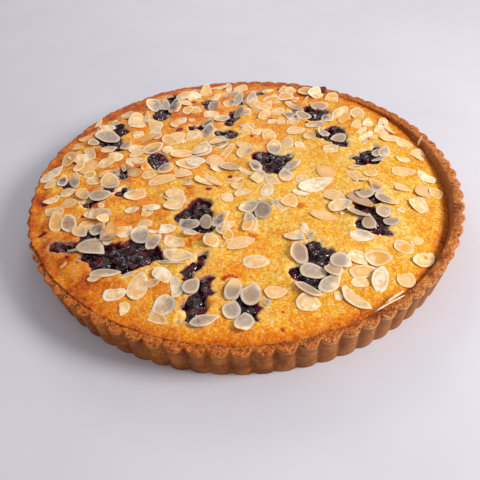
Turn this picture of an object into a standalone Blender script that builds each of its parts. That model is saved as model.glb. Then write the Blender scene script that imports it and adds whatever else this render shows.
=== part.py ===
"""Blueberry almond tart: a fluted shortcrust case filled with baked almond sponge.

Pools of cooked blueberries break through the sponge, and flaked almonds are baked
onto it. Lengths are in metres, +Z is up, and the origin is the middle of the base.
Each pool of berries is a piece of its own. The almonds are one piece with the sponge.
"""

import math
import random

import bmesh
import bpy
import numpy as np
from mathutils import Vector, noise

MM = 0.001
SHARP_ANGLE = math.radians(38)

# Pastry case, pressed into a fluted tin 280 mm across and a little shrunk by baking
RIM_RADIUS = 137.5 * MM  # over the flute crests at the rim
BASE_RADIUS = 133.8 * MM  # over the flute crests at the base
RIM_HEIGHT = 21.6 * MM
RIM_WIDTH = 6.3 * MM  # from a flute crest in to the filling
FLOOR_THICKNESS = 3.5 * MM
INSIDE_FLARE = 4.5 * MM  # how much the inside widens from floor to rim
FLUTES = 76
FLUTE_DEPTH = 3.7 * MM  # at the rim, where they are deepest
SHALLOWER = (0.55, math.radians(45), 1)  # the share of it lost, on which side, how narrowly
BASE_FLUTE_SHARE = 0.45  # the flutes' depth at the base, as a share of that
FLUTE_FULLNESS = 0.96  # near 1, the lobes are round and the valleys between them sharp
FIRST_CREST = math.radians(-91.9)
STEPS_PER_FLUTE = 6
RIM_ROUNDING = 1.3 * MM
RIM_UNEVENNESS = 0.35 * MM
RIM_SEED = 7
BULGE = (0.0153, math.radians(-25), 2.3)  # the share it is wider by, its side, how narrowly

# Almond sponge, which rose over the rim on its left and sank under it on its right
CENTRE_RISE = 3.8 * MM  # over the rim, in the middle
EDGE_RISE = -0.3 * MM
RISEN = [  # how far, its side, how fast it fades along the edge
    (2.7 * MM, math.radians(155), 1.8),
    (1.2 * MM, math.radians(122), 8),
]
SUNKEN = (7.4 * MM, math.radians(-8), 4.8)
DOME_POWER = 3  # how flat the middle is
SUNKEN_POWER = 5  # and how close to the edge the sunken sides stay
SWELL_HEIGHT = 0.9 * MM
SWELL_LENGTH = 28 * MM
SWELL_FADE = 8  # the higher, the nearer to the edge the swells die out
LIP_REACH = 3.8 * MM  # how far the risen side spreads over the rim
LIP_THICKNESS = 1.3 * MM
LIP_BLUNTNESS = 0.5 * MM
LIP_ROUNDING = 1.3 * MM
SPONGE_COLUMNS = 64
SPONGE_RINGS = 8
RING_CROWDING = 0.85  # under 1, the rings lie closer together at the edge
CASE_GAP = 0.35 * MM

# Pools of cooked berries, each a patch made of round lobes: x, y and radius in millimetres
POOL_LOBES = [
    [(-86, -70, 8), (-76, -68, 10), (-66, -69, 11), (-56, -68, 8), (-49, -71, 4), (-62, -60, 6)],
    [(-110, -56, 3.5), (-104, -57, 4), (-98, -59, 3)],
    [(-92, -51, 4), (-88, -52, 3.5)],
    [(-25, -27, 5.5), (-28, -35, 8), (-37, -38, 3.5), (-22, -40, 5), (-29, -46, 6), (-22, -50, 3.5)],
    [(-23.5, -73, 3), (-27.5, -79, 3.5), (-32, -85, 3.5)],
    [(-21, -94, 6), (-26, -102, 5), (-28, -109, 6.5), (-30, -115, 4)],
    [(-3, -106, 4), (1, -111, 5), (5.5, -115, 3.5)],
    [(38, -69, 4.5), (40, -76, 6.5), (47, -76, 3.5), (38, -86, 7), (29, -88, 5.5), (35, -95, 5)],
    [(72, -27, 5), (80, -29, 5), (73, -38, 6), (79, -45, 7), (70, -52, 5), (79, -55, 6.5), (86, -57, 3.5)],
    [(12, -31, 4), (9, -38, 3)],
    [(13, 19, 5.5), (22, 14, 9), (31, 19, 4.5), (20, 6, 6), (28, 6, 5)],
    [(79, 12, 5.5), (86, 18, 5), (94, 25, 3.5), (89, 10, 3)],
    [(69, 49, 6), (68, 40, 7.5), (71, 32, 5), (58, 44, 3.5)],
    [(55, 81, 4.5), (62, 77, 6), (56, 70, 6.5), (47, 73, 4.5), (42, 78, 2.5)],
    [(-2, 79, 4.5), (-4, 72, 4), (-7, 66, 2.5)],
    [(-14, 54, 4), (-10, 52, 4.5), (-5, 49, 4)],
    [(-34, 63, 3), (-27, 63, 3.5)],
    [(-25, 99, 3), (-21, 91, 4)],
    [(-58, 84, 7), (-57, 93, 6), (-56, 102, 6), (-53, 111, 4.5)],
    [(-57, 25, 6), (-55, 18, 5.5)],
    [(-99, 53, 5), (-92, 49, 7), (-86, 44, 5), (-88, 62, 5.5), (-89, 70, 4)],
    [(-79, 13, 3.2), (-78, 7, 3.2)],
    [(-115, 3, 3.5), (-111, 2, 3)],
    [(-97, -19, 3.5), (-91, -13, 5), (-86, -7, 3.5)],
    [(-77, -11, 3), (-76, -7, 2.5)],
    [(14, 111, 3), (18, 111, 3)],
    [(3, 104, 3), (2, 97, 3)],
]
POOL_EDGE_STEP = 5.8 * MM
FEWEST_POOL_CORNERS = 8
POOL_DEPTH = 6 * MM
POOL_RECESS = 1.6 * MM  # mean depth of the berries under the sponge
POOL_LUMPS = 0.3 * MM
POOL_LUMP_LENGTH = 5 * MM
POOL_GAP = 0.45 * MM
POOL_INNER_SHARE = 0.55  # where the ring between a pool's middle and its outline lies
WELL_CUT_HEIGHT = 18 * MM  # from a well's floor to well over the sponge
SMALLEST_REACH = 2 * MM
OUTLINE_DIRECTIONS = 180
OUTLINE_SMOOTHING = 4  # directions to each side

# Flaked almonds: x, y, length and width in millimetres, and turn in degrees.
# These lie alone, or across a pool. More are scattered where they crowd.
PLACED_FLAKES = [
    (-88, -60, 19, 13, -35), (-79, -50, 20, 6, 88), (-60, -53, 13, 11, -60), (-52, -59, 12, 7, 50),
    (-77, -81, 17, 7, 5), (-58, -91, 19, 11, 80), (-70, -95, 12, 10, 0), (-43, -105, 14, 12, 100),
    (-48, -112, 18, 6, -30), (-65, -105, 9, 8, 30), (-45, -85, 13, 8, -40), (-38, -94, 14, 9, 100),
    (-29, -94, 12, 8, 60), (-22, -117, 15, 7, 15), (-37, -71, 18, 8, -5), (-40, -60, 14, 9, -30),
    (-32, -45, 13, 9, -5), (-22, -45, 12, 7, -70), (-13, -44, 16, 6, 55), (-11, -54, 11, 8, -30),
    (-2, -64, 17, 9, 20), (6, -79, 15, 10, -5), (2, -101, 16, 11, 95), (-7, -98, 15, 9, 80),
    (-2, -119, 12, 10, 80), (15, -101, 12, 9, 0), (31, -109, 13, 10, 0), (32, -101, 17, 7, -40),
    (56, -107, 18, 10, -45), (44, -97, 15, 9, 45), (36, -88, 15, 10, -15), (47, -88, 12, 9, -60),
    (52, -83, 12, 11, -50), (30, -74, 17, 10, 85), (29, -60, 13, 10, -50), (62, -79, 12, 10, -40),
    (73, -79, 15, 12, 10), (63, -89, 16, 8, 10), (71, -94, 17, 9, 70), (85, -93, 13, 10, 80),
    (89, -71, 12, 9, -30), (99, -79, 16, 9, 35), (67, -63, 14, 8, -5), (72, -32, 18, 11, -45),
    (88, -31, 16, 8, -35), (84, -42, 10, 8, 30), (87, -50, 10, 8, 0), (73, -52, 12, 8, 80),
    (68, -44, 14, 5, -35), (83, -18, 14, 12, 0), (107, -31, 20, 11, 98), (116, -19, 17, 10, 35),
    (99, -18, 14, 7, -25), (106, -1, 16, 10, 0), (121, -3, 14, 11, 120), (57, -27, 17, 9, -40),
    (59, -36, 15, 10, 20), (48, -44, 15, 8, -15), (47, -14, 22, 12, 15), (55, -1, 14, 11, 120),
    (12, -37, 17, 10, 100), (4, -47, 15, 9, 90), (4, -33, 13, 9, 30), (24, -32, 15, 12, 40),
    (10, 9, 14, 8, 100), (24, 29, 16, 10, 90), (34, 6, 16, 6, 35), (33, 35, 15, 9, 100),
    (64, 24, 15, 8, -5), (70, 38, 16, 9, 50), (94, 20, 14, 6, 50), (107, 40, 17, 9, 10),
    (122, 22, 15, 11, 60), (44, 85, 20, 8, -60), (39, 112, 20, 12, 95), (-95, 57, 20, 14, -40),
    (-76, 76, 22, 13, 100), (-48, 94, 19, 10, 85), (-65, 98, 18, 11, -80), (-25, 117, 24, 10, 85),
    (-109, 5, 17, 9, -75), (-90, -13, 15, 9, 10), (-49, 12, 15, 10, 50), (-60, 37, 16, 12, 50),
    (-128, 16, 20, 9, 50), (40, -7, 11, 7, 10), (16, -17, 14, 8, 75), (76, -8, 14, 6, -60),
    (110, 15, 10, 8, 0), (116, 34, 13, 9, -20), (41, 50, 14, 9, 0), (56, 57, 14, 9, 10),
    (77, 71, 19, 12, 60), (90, 74, 17, 10, 70), (95, 58, 16, 8, 75), (107, 61, 16, 8, 70),
    (-23, -3, 16, 9, -35), (-66, -14, 17, 9, 15), (-106, -36, 18, 9, 105),
]
SCATTERED_FLAKES = 31
FLAKE_SEED = 24
FLAKE_LENGTHS = (11 * MM, 19 * MM)
FLAKE_WIDTH_SHARES = (0.52, 0.8)
FLAKE_THICKNESS = 1.5 * MM
FLAKE_SINK = 0.6 * MM
FLAKE_CORNERS = 8
FLAKE_TAPER = 0.22
FLAKE_TILT = math.radians(1.5)
CROWDED_SIDE = math.radians(125)  # flakes are scattered on this half of the tart
CLOSE_SPACING = 10 * MM  # between flakes, furthest towards that side
WIDE_SPACING = 15 * MM  # and in the middle of the tart
FLAKE_EDGE_MARGIN = 9 * MM
POOL_MARGIN = 1 * MM
SCATTER_TRIES = 6000


def widening(angle):
    """How much wider the case is in a direction than a true circle, as a factor."""
    share, side, focus = BULGE
    return 1 + share * near_side(angle, side, focus)


def inside_radius(z):
    """Radius of the case's inner wall at a height, before widening."""
    share = (z - FLOOR_THICKNESS) / (RIM_HEIGHT - FLOOR_THICKNESS)
    return RIM_RADIUS - RIM_WIDTH - INSIDE_FLARE * (1 - min(max(share, 0), 1))


SURFACE_RADIUS = inside_radius(RIM_HEIGHT)


def near_side(angle, side, focus):
    """1 in the direction of a side, fading the faster the higher the focus."""
    return math.exp(focus * (math.cos(angle - side) - 1))


def surface_height(x, y):
    """Height of the sponge's baked surface over a point of the base plane."""
    angle = math.atan2(y, x)
    share = min(math.hypot(x, y) / SURFACE_RADIUS / widening(angle), 1)
    edge = EDGE_RISE + sum(height * near_side(angle, *side) for height, *side in RISEN)
    rise = CENTRE_RISE + (edge - CENTRE_RISE) * share**DOME_POWER
    depth, side, focus = SUNKEN
    rise -= depth * near_side(angle, side, focus) * share**SUNKEN_POWER
    swell = SWELL_HEIGHT * noise.noise(Vector((x, y, 0)) / SWELL_LENGTH) * (1 - share**SWELL_FADE)
    return RIM_HEIGHT + rise + swell


def material(name, color, roughness):
    made = bpy.data.materials.new(name)
    made.use_nodes = True
    shader = made.node_tree.nodes["Principled BSDF"]
    shader.inputs["Base Color"].default_value = (*color, 1)
    shader.inputs["Roughness"].default_value = roughness
    shader.inputs["Metallic"].default_value = 0
    return made


def add_object(name, points, faces, finish=None, collection=None):
    """A mesh object from points and faces, with its normals facing out."""
    mesh = bpy.data.meshes.new(name)
    mesh.from_pydata(points, [], faces)
    shaper = bmesh.new()
    shaper.from_mesh(mesh)
    bmesh.ops.recalc_face_normals(shaper, faces=shaper.faces)
    shaper.to_mesh(mesh)
    shaper.free()
    if finish:
        mesh.materials.append(finish)
    made = bpy.data.objects.new(name, mesh)
    (collection or bpy.context.scene.collection).objects.link(made)
    return made


def ring_faces(lower, upper):
    """Quads between two rings of point numbers of the same length."""
    count = len(lower)
    return [(lower[i], lower[(i + 1) % count], upper[(i + 1) % count], upper[i]) for i in range(count)]


def numbered_rings(rings):
    """All the rings' points in one list, and each ring's point numbers."""
    points = [point for ring in rings for point in ring]
    starts = np.cumsum([0] + [len(ring) for ring in rings])
    return points, [list(range(starts[i], starts[i + 1])) for i in range(len(rings))]


def flute_inset(step, angle):
    """How far the wall lies inside its crests: lobes like shells, with narrow valleys."""
    lost, side, focus = SHALLOWER
    depth = FLUTE_DEPTH * (1 - lost * near_side(angle, side, focus))
    from_crest = 1 - abs((step % STEPS_PER_FLUTE) / STEPS_PER_FLUTE - 0.5) * 2  # 1 in a valley
    lobe = 1 - math.sqrt(1 - FLUTE_FULLNESS * from_crest**2)
    return depth * lobe / (1 - math.sqrt(1 - FLUTE_FULLNESS))


def make_case(finish):
    """The fluted case: base, fluted wall, uneven rim, plain inside wall and floor."""
    draw = random.Random(RIM_SEED)
    count = FLUTES * STEPS_PER_FLUTE
    lifts = [draw.uniform(-1, 1) * RIM_UNEVENNESS for _ in range(FLUTES)]
    base, shoulder, edge, inner, floor = [], [], [], [], []
    for step in range(count):
        angle = FIRST_CREST + math.tau * step / count
        side = Vector((math.cos(angle), math.sin(angle), 0)) * widening(angle)
        inset = flute_inset(step, angle)
        half = STEPS_PER_FLUTE // 2
        flute = (step + half) // STEPS_PER_FLUTE % FLUTES  # counted from valley to valley
        lift = lifts[flute] if step % STEPS_PER_FLUTE != half else 0
        up = Vector((0, 0, 1))
        base.append(side * (BASE_RADIUS - inset * BASE_FLUTE_SHARE))
        shoulder.append(side * (RIM_RADIUS - inset) + up * (RIM_HEIGHT - RIM_ROUNDING))
        edge.append(side * (RIM_RADIUS - inset - RIM_ROUNDING) + up * (RIM_HEIGHT + lift))
        if step % half == 0:
            inner.append(side * SURFACE_RADIUS + up * (RIM_HEIGHT - RIM_UNEVENNESS))
            floor.append(side * inside_radius(0) + up * FLOOR_THICKNESS)
    points, (base, shoulder, edge, inner, floor) = numbered_rings([base, shoulder, edge, inner, floor])
    faces = [base, floor, *ring_faces(base, shoulder), *ring_faces(shoulder, edge)]
    faces += ring_faces(inner, floor)
    for i in range(len(inner)):
        outside = [edge[(i * half + k) % count] for k in range(half + 1)]
        faces.append([inner[i], *outside, inner[(i + 1) % len(inner)]])
    return add_object("crust", points, faces, finish)


def make_sponge(finish):
    """The plain body of sponge: it fills the case, and its risen side spreads over the rim."""
    bottom, wall, lip = [], [], []
    rings = [[] for _ in range(SPONGE_RINGS)]
    over_rim = RIM_HEIGHT + RIM_UNEVENNESS + CASE_GAP
    for column in range(SPONGE_COLUMNS):
        angle = math.tau * column / SPONGE_COLUMNS
        cos, sin = math.cos(angle) * widening(angle), math.sin(angle) * widening(angle)
        edge_height = surface_height(SURFACE_RADIUS * cos, SURFACE_RADIUS * sin)
        risen = min(max((edge_height - over_rim) / LIP_THICKNESS, 0), 1)
        wall_height = min(edge_height - LIP_THICKNESS, RIM_HEIGHT - LIP_THICKNESS) * (1 - risen)
        wall_height += over_rim * risen
        wall_radius = inside_radius(wall_height) - CASE_GAP
        lip_radius = wall_radius + LIP_REACH * risen
        lip_height = max(wall_height + LIP_BLUNTNESS, over_rim if risen else 0)
        top_radius = lip_radius - LIP_ROUNDING
        bottom_radius = inside_radius(0) - CASE_GAP
        bottom.append((bottom_radius * cos, bottom_radius * sin, FLOOR_THICKNESS + CASE_GAP))
        wall.append((wall_radius * cos, wall_radius * sin, wall_height))
        lip.append((lip_radius * cos, lip_radius * sin, lip_height))
        for ring, points in enumerate(rings):
            radius = top_radius * (1 - ring / SPONGE_RINGS) ** RING_CROWDING
            points.append((radius * cos, radius * sin, surface_height(radius * cos, radius * sin)))
    middle = [(0, 0, surface_height(0, 0))]
    points, numbers = numbered_rings([bottom, wall, lip, *rings, middle])
    faces = [numbers[0]]
    for lower, upper in zip(numbers[:-2], numbers[1:-1]):
        faces += ring_faces(lower, upper)
    last, centre = numbers[-2], numbers[-1][0]
    faces += [(last[i], last[(i + 1) % len(last)], centre) for i in range(len(last))]
    return add_object("almond_sponge", points, faces, finish)


def pool_outline(lobes):
    """Evenly spaced points round a patch of lobes, and its middle, in metres."""
    lobes = np.array(lobes, float) * MM
    middle = (lobes[:, :2] * lobes[:, 2:] ** 2).sum(0) / (lobes[:, 2] ** 2).sum()
    angles = np.linspace(0, math.tau, OUTLINE_DIRECTIONS, endpoint=False)
    rays = np.stack([np.cos(angles), np.sin(angles)], 1)
    from_middle = lobes[:, :2] - middle
    along = rays @ from_middle.T
    across = rays @ np.stack([-from_middle[:, 1], from_middle[:, 0]])
    half_chord = np.sqrt(np.maximum(lobes[:, 2] ** 2 - across**2, 0))
    reach = np.where(np.abs(across) < lobes[:, 2], along + half_chord, 0).max(1)
    reach = np.maximum(reach, SMALLEST_REACH)
    turns = range(-OUTLINE_SMOOTHING, OUTLINE_SMOOTHING + 1)
    reach = sum(np.roll(reach, turn) for turn in turns) / len(turns)
    dense = middle + rays * reach[:, None]
    dense = np.vstack([dense, dense[:1]])
    travelled = np.concatenate([[0], np.cumsum(np.linalg.norm(np.diff(dense, axis=0), axis=1))])
    count = max(FEWEST_POOL_CORNERS, round(travelled[-1] / POOL_EDGE_STEP))
    stops = np.linspace(0, travelled[-1], count, endpoint=False)
    outline = np.stack([np.interp(stops, travelled, dense[:, axis]) for axis in (0, 1)], 1)
    return outline, middle


def spread(outline, distance):
    """The outline moved outwards by a distance along its corners' normals."""
    along = np.roll(outline, -1, 0) - np.roll(outline, 1, 0)
    outwards = np.stack([along[:, 1], -along[:, 0]], 1)
    return outline + outwards / np.linalg.norm(outwards, axis=1)[:, None] * distance


def make_pool(name, lobes, finish):
    """A pool of berries: a lumpy top just under the sponge's surface, over a flat bottom.

    The object's origin is in the sponge's surface, over the pool's middle.
    """
    outline, middle = pool_outline(lobes)
    origin = Vector((*middle, surface_height(*middle)))

    def on_top(x, y, extra=0):
        lumps = POOL_LUMPS * noise.noise(Vector((x, y, 1)) / POOL_LUMP_LENGTH)
        return Vector((x, y, surface_height(x, y) - POOL_RECESS - extra + lumps)) - origin

    bottom = [Vector((x - origin.x, y - origin.y, POOL_GAP - POOL_DEPTH)) for x, y in outline]
    rim = [on_top(x, y, POOL_LUMPS) for x, y in outline]
    inner = [on_top(*(middle + (point - middle) * POOL_INNER_SHARE)) for point in outline[::2]]
    points, (bottom, rim, inner, centre) = numbered_rings([bottom, rim, inner, [on_top(*middle)]])
    faces = [bottom, *ring_faces(bottom, rim)]
    for i in range(len(inner)):
        after = (i + 1) % len(inner)
        outside = rim[2 * i : 2 * i + 3] if after else rim[2 * i :] + rim[:1]
        faces.append([inner[i], *outside, inner[after]])
        faces.append([inner[i], inner[after], centre[0]])
    pool = add_object(name, points, faces, finish)
    pool.location = origin
    return pool


def make_well(lobes, collection):
    """The cutter that leaves room in the sponge for one pool."""
    outline, middle = pool_outline(lobes)
    outline = spread(outline, POOL_GAP)
    floor = surface_height(*middle) - POOL_DEPTH
    rings = [[(x, y, height) for x, y in outline] for height in (floor, floor + WELL_CUT_HEIGHT)]
    points, (lower, upper) = numbered_rings(rings)
    return add_object("well", points, [lower, upper, *ring_faces(lower, upper)], None, collection)


def scattered_flakes():
    """More flakes by a rule, on the crowded half, and closer together towards its edge."""
    draw = random.Random(FLAKE_SEED)
    taken = [(x * MM, y * MM) for x, y, *_ in PLACED_FLAKES]
    kept_clear = [(x * MM, y * MM, radius * MM) for lobes in POOL_LOBES for x, y, radius in lobes]
    found = []
    for _ in range(SCATTER_TRIES):
        radius = (SURFACE_RADIUS - FLAKE_EDGE_MARGIN) * math.sqrt(draw.random())
        angle = CROWDED_SIDE + draw.uniform(-math.pi, math.pi) / 2
        length = draw.uniform(*FLAKE_LENGTHS)
        width = length * draw.uniform(*FLAKE_WIDTH_SHARES)
        turn = draw.uniform(0, math.pi)
        x, y = radius * math.cos(angle), radius * math.sin(angle)
        crowding = radius / SURFACE_RADIUS * math.cos(angle - CROWDED_SIDE)
        spacing = WIDE_SPACING + (CLOSE_SPACING - WIDE_SPACING) * crowding
        if any(math.hypot(x - a, y - b) < spacing for a, b in taken):
            continue
        if any(math.hypot(x - a, y - b) < r + length / 2 + POOL_MARGIN for a, b, r in kept_clear):
            continue
        taken.append((x, y))
        found.append((x, y, length, width, turn))
        if len(found) == SCATTERED_FLAKES:
            break
    return found


def all_flakes():
    placed = [(x * MM, y * MM, length * MM, width * MM, math.radians(turn))
              for x, y, length, width, turn in PLACED_FLAKES]
    return placed + scattered_flakes()


def make_flake(number, x, y, length, width, turn, collection):
    """One almond slice: an egg-shaped plate that follows the sponge and is sunk into it a little."""
    draw = random.Random(number)
    lengthwise = Vector((math.cos(turn), math.sin(turn)))
    crosswise = lengthwise.orthogonal()
    middle = Vector((x, y))
    level = surface_height(x, y)
    slopes = []
    for axis, size in ((lengthwise, length), (crosswise, width)):
        ahead = surface_height(*(middle + axis * size / 2))
        behind = surface_height(*(middle - axis * size / 2))
        slopes.append((ahead - behind) / size + draw.uniform(-1, 1) * math.tan(FLAKE_TILT))
        level = max(level, (ahead + behind) / 2)
    rings = [[], []]
    for corner in range(FLAKE_CORNERS):
        around = math.tau * (corner + 0.5) / FLAKE_CORNERS
        along = length / 2 * math.cos(around)
        across = width / 2 * math.sin(around) * (1 - FLAKE_TAPER * math.cos(around))
        place = middle + lengthwise * along + crosswise * across
        low = level - FLAKE_SINK + slopes[0] * along + slopes[1] * across
        rings[0].append((*place, low))
        rings[1].append((*place, low + FLAKE_THICKNESS))
    points, (lower, upper) = numbered_rings(rings)
    return add_object("flake", points, [lower, upper, *ring_faces(lower, upper)], None, collection)


def combine(body, operation, collection):
    """Joins a collection's objects to the body, or cuts them from it, and removes them."""
    modifier = body.modifiers.new(operation.title(), "BOOLEAN")
    modifier.operation = operation
    modifier.operand_type = "COLLECTION"
    modifier.collection = collection
    modifier.solver = "MANIFOLD"
    graph = bpy.context.evaluated_depsgraph_get()
    mesh = bpy.data.meshes.new_from_object(body.evaluated_get(graph))
    body.modifiers.remove(modifier)
    body.data = mesh
    for used in list(collection.objects):
        bpy.data.objects.remove(used)
    bpy.data.collections.remove(collection)


def keep_largest_piece(body):
    """Drops what a Boolean left loose, such as a flake that lies wholly over a pool."""
    shaper = bmesh.new()
    shaper.from_mesh(body.data)
    waiting = set(shaper.verts)
    pieces = []
    while waiting:
        piece, edge_of_piece = set(), [next(iter(waiting))]
        while edge_of_piece:
            vertex = edge_of_piece.pop()
            if vertex in piece:
                continue
            piece.add(vertex)
            edge_of_piece += [edge.other_vert(vertex) for edge in vertex.link_edges]
        waiting -= piece
        pieces.append(piece)
    largest = max(pieces, key=len)
    loose = [vertex for vertex in shaper.verts if vertex not in largest]
    bmesh.ops.delete(shaper, geom=loose, context="VERTS")
    shaper.to_mesh(body.data)
    shaper.free()


def shade_rounded(body):
    """Smooth shading, with the edges between steep faces kept sharp."""
    body.data.shade_smooth()
    body.data.set_sharp_from_angle(angle=SHARP_ANGLE)


def new_collection(name):
    made = bpy.data.collections.new(name)
    bpy.context.scene.collection.children.link(made)
    return made


def make_tart():
    for old in list(bpy.data.objects):
        bpy.data.objects.remove(old)
    pastry = material("baked_pastry", (0.46, 0.22, 0.07), 0.8)
    sponge_finish = material("almond_sponge", (0.80, 0.42, 0.08), 0.75)
    berries = material("cooked_berries", (0.035, 0.012, 0.03), 0.3)
    make_case(pastry)
    sponge = make_sponge(sponge_finish)
    wells = new_collection("wells")
    for lobes in POOL_LOBES:
        make_well(lobes, wells)
    combine(sponge, "DIFFERENCE", wells)
    flakes = new_collection("flakes")
    for number, flake in enumerate(all_flakes()):
        make_flake(number, *flake, flakes)
    combine(sponge, "UNION", flakes)
    keep_largest_piece(sponge)
    for number, lobes in enumerate(POOL_LOBES, 1):
        make_pool(f"berry_pool_{number:02d}", lobes, berries)
    for body in bpy.data.objects:
        shade_rounded(body)


make_tart()
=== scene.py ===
import math
import random

import bpy
import numpy as np
from mathutils import Matrix, Vector, noise


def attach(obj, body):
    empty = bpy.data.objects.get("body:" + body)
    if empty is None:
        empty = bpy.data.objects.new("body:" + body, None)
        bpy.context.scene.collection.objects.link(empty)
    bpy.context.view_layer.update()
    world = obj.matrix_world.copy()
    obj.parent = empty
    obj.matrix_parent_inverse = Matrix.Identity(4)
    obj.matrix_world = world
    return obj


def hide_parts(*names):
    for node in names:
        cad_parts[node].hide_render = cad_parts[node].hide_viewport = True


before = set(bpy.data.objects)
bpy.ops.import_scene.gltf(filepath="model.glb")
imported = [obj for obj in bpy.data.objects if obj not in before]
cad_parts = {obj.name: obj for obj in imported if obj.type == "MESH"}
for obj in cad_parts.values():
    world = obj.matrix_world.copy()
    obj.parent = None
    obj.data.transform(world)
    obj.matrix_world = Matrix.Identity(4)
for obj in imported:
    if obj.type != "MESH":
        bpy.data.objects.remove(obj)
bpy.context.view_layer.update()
print("the packed tart is loaded")

mm = 0.001

# The tart's form in mm and degrees, as in its solids
tart = {
    "rimRadius": 137.5,
    "baseRadius": 133.8,
    "rimHeight": 21.6,
    "rimWidth": 6.3,
    "floorThickness": 3.5,
    "insideFlare": 4.5,
    "bulge": (0.0153, -25, 2.3),  # the share it is wider by, the side it faces, and how narrowly
    "centreRise": 3.8,
    "edgeRise": -0.3,
    "risen": ((2.7, 155, 1.8), (1.2, 122, 8)),  # mm, side and how narrowly
    "sunk": (7.4, -8, 4.8),
    "domePower": 3,
    "sunkPower": 5,
    "swellHeight": 0.9,
    "swellLength": 28,
    "swellFade": 8,
    "beyond": 200,  # any radius past the rim, where the dome has the height of its edge
    "unevenRadius": 130,  # where the unevenness along the edge is read
}

# Pools of cooked berries as round lobes: x, y and radius in mm
poolLobes = [
    [(-86, -70, 8), (-76, -68, 10), (-66, -69, 11), (-56, -68, 8), (-49, -71, 4), (-62, -60, 6)],
    [(-110, -56, 3.5), (-104, -57, 4), (-98, -59, 3)],
    [(-92, -51, 4), (-88, -52, 3.5)],
    [(-25, -27, 5.5), (-28, -35, 8), (-37, -38, 3.5), (-22, -40, 5), (-29, -46, 6), (-22, -50, 3.5)],
    [(-23.5, -73, 3), (-27.5, -79, 3.5), (-32, -85, 3.5)],
    [(-21, -94, 6), (-26, -102, 5), (-28, -109, 6.5), (-30, -115, 4)],
    [(-3, -106, 4), (1, -111, 5), (5.5, -115, 3.5)],
    [(38, -69, 4.5), (40, -76, 6.5), (47, -76, 3.5), (38, -86, 7), (29, -88, 5.5), (35, -95, 5)],
    [(72, -27, 5), (80, -29, 5), (73, -38, 6), (79, -45, 7), (70, -52, 5), (79, -55, 6.5), (86, -57, 3.5)],
    [(12, -31, 4), (9, -38, 3)],
    [(13, 19, 5.5), (22, 14, 9), (31, 19, 4.5), (20, 6, 6), (28, 6, 5)],
    [(79, 12, 5.5), (86, 18, 5), (94, 25, 3.5), (89, 10, 3)],
    [(69, 49, 6), (68, 40, 7.5), (71, 32, 5), (58, 44, 3.5)],
    [(55, 81, 4.5), (62, 77, 6), (56, 70, 6.5), (47, 73, 4.5), (42, 78, 2.5)],
    [(-2, 79, 4.5), (-4, 72, 4), (-7, 66, 2.5)],
    [(-14, 54, 4), (-10, 52, 4.5), (-5, 49, 4)],
    [(-34, 63, 3), (-27, 63, 3.5)],
    [(-25, 99, 3), (-21, 91, 4)],
    [(-58, 84, 7), (-57, 93, 6), (-56, 102, 6), (-53, 111, 4.5)],
    [(-57, 25, 6), (-55, 18, 5.5)],
    [(-99, 53, 5), (-92, 49, 7), (-86, 44, 5), (-88, 62, 5.5), (-89, 70, 4)],
    [(-79, 13, 3.2), (-78, 7, 3.2)],
    [(-115, 3, 3.5), (-111, 2, 3)],
    [(-97, -19, 3.5), (-91, -13, 5), (-86, -7, 3.5)],
    [(-77, -11, 3), (-76, -7, 2.5)],
    [(14, 111, 3), (18, 111, 3)],
    [(3, 104, 3), (2, 97, 3)],
]
allLobes = [lobe for lobes in poolLobes for lobe in lobes]

# Where sponge covers the edge of the berries: x, y and radius in mm
spongeBits = [
    (-92, -74, 4.5), (-89, -77, 3.6), (-14, -94, 5.4), (-18, -86, 2.3), (9, -115, 4.6), (8, -119, 3.2),
    (-33, -120, 4), (-35, -117, 2.6), (-37, -112, 4.3), (87, -55, 3.2), (88, -58, 3), (74, 10, 2.6),
    (-37, -86, 3), (-49, -76, 3.2), (-17, -42, 2.8), (-54, 115, 2.6),
]

# Helpers for every piece


def linear(red, green, blue):
    # a colour picked in 0 to 255, as the shaders want it
    picked = np.array([red, green, blue]) / 255
    return (*np.where(picked < 0.04045, picked / 12.92, ((picked + 0.055) / 1.055) ** 2.4), 1)


def lumps(points, size, seed=0, octaves=1):
    # smooth noise, about -1 to 1, over points in mm
    third = points[:, 2:3] if points.shape[1] > 2 else np.zeros((len(points), 1))
    spots = np.hstack([points[:, :2], third]) / size + [0, 0, 31.7 * seed]
    if octaves == 1:
        return np.array([noise.noise(spot) for spot in spots.tolist()])
    return np.array([noise.fractal(spot, 0.8, 2.0, octaves) for spot in spots.tolist()])


def ramp(value, start, end):
    # 0 before start, 1 after end, smooth between
    share = np.clip((value - start) / (end - start), 0, 1)
    return share * share * (3 - 2 * share)


def onCircle(angle, radius=1.0):
    # x and y for each angle
    return np.column_stack([radius * np.cos(angle), radius * np.sin(angle)])


def gridQuads(index):
    # the corners of each cell in a grid of point numbers
    return np.stack([index[:-1, :-1], index[1:, :-1], index[1:, 1:], index[:-1, 1:]], -1)


def ringQuads(rings):
    # faces that join closed rings of point numbers, each ring to the next
    after = np.roll(rings, -1, axis=1)
    return np.stack([rings[:-1], after[:-1], after[1:], rings[1:]], -1).reshape(-1, 4).tolist()


def fan(ring, middle):
    # faces that join a closed ring of point numbers to the point in its middle
    return np.column_stack([ring, np.roll(ring, -1), np.full(len(ring), middle)]).tolist()


def makePiece(name, points, faces, material, node, masks, sharp=None):
    # a smooth mesh from points in mm, with up to four masks for each point
    mesh = bpy.data.meshes.new(name)
    mesh.from_pydata((np.asarray(points) * mm).tolist(), [], faces)
    mesh.materials.append(material)
    mesh.shade_smooth()
    if sharp:
        mesh.set_sharp_from_angle(angle=math.radians(sharp))
    layer = mesh.color_attributes.new("masks", "FLOAT_COLOR", "POINT")
    values = np.ones((len(points), 4), np.float32)
    values[:, : masks.shape[1]] = masks
    layer.data.foreach_set("color", values.ravel())
    piece = bpy.data.objects.new(name, mesh)
    bpy.context.scene.collection.objects.link(piece)
    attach(piece, "root")
    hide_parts(node)


# The tart's form


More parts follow.
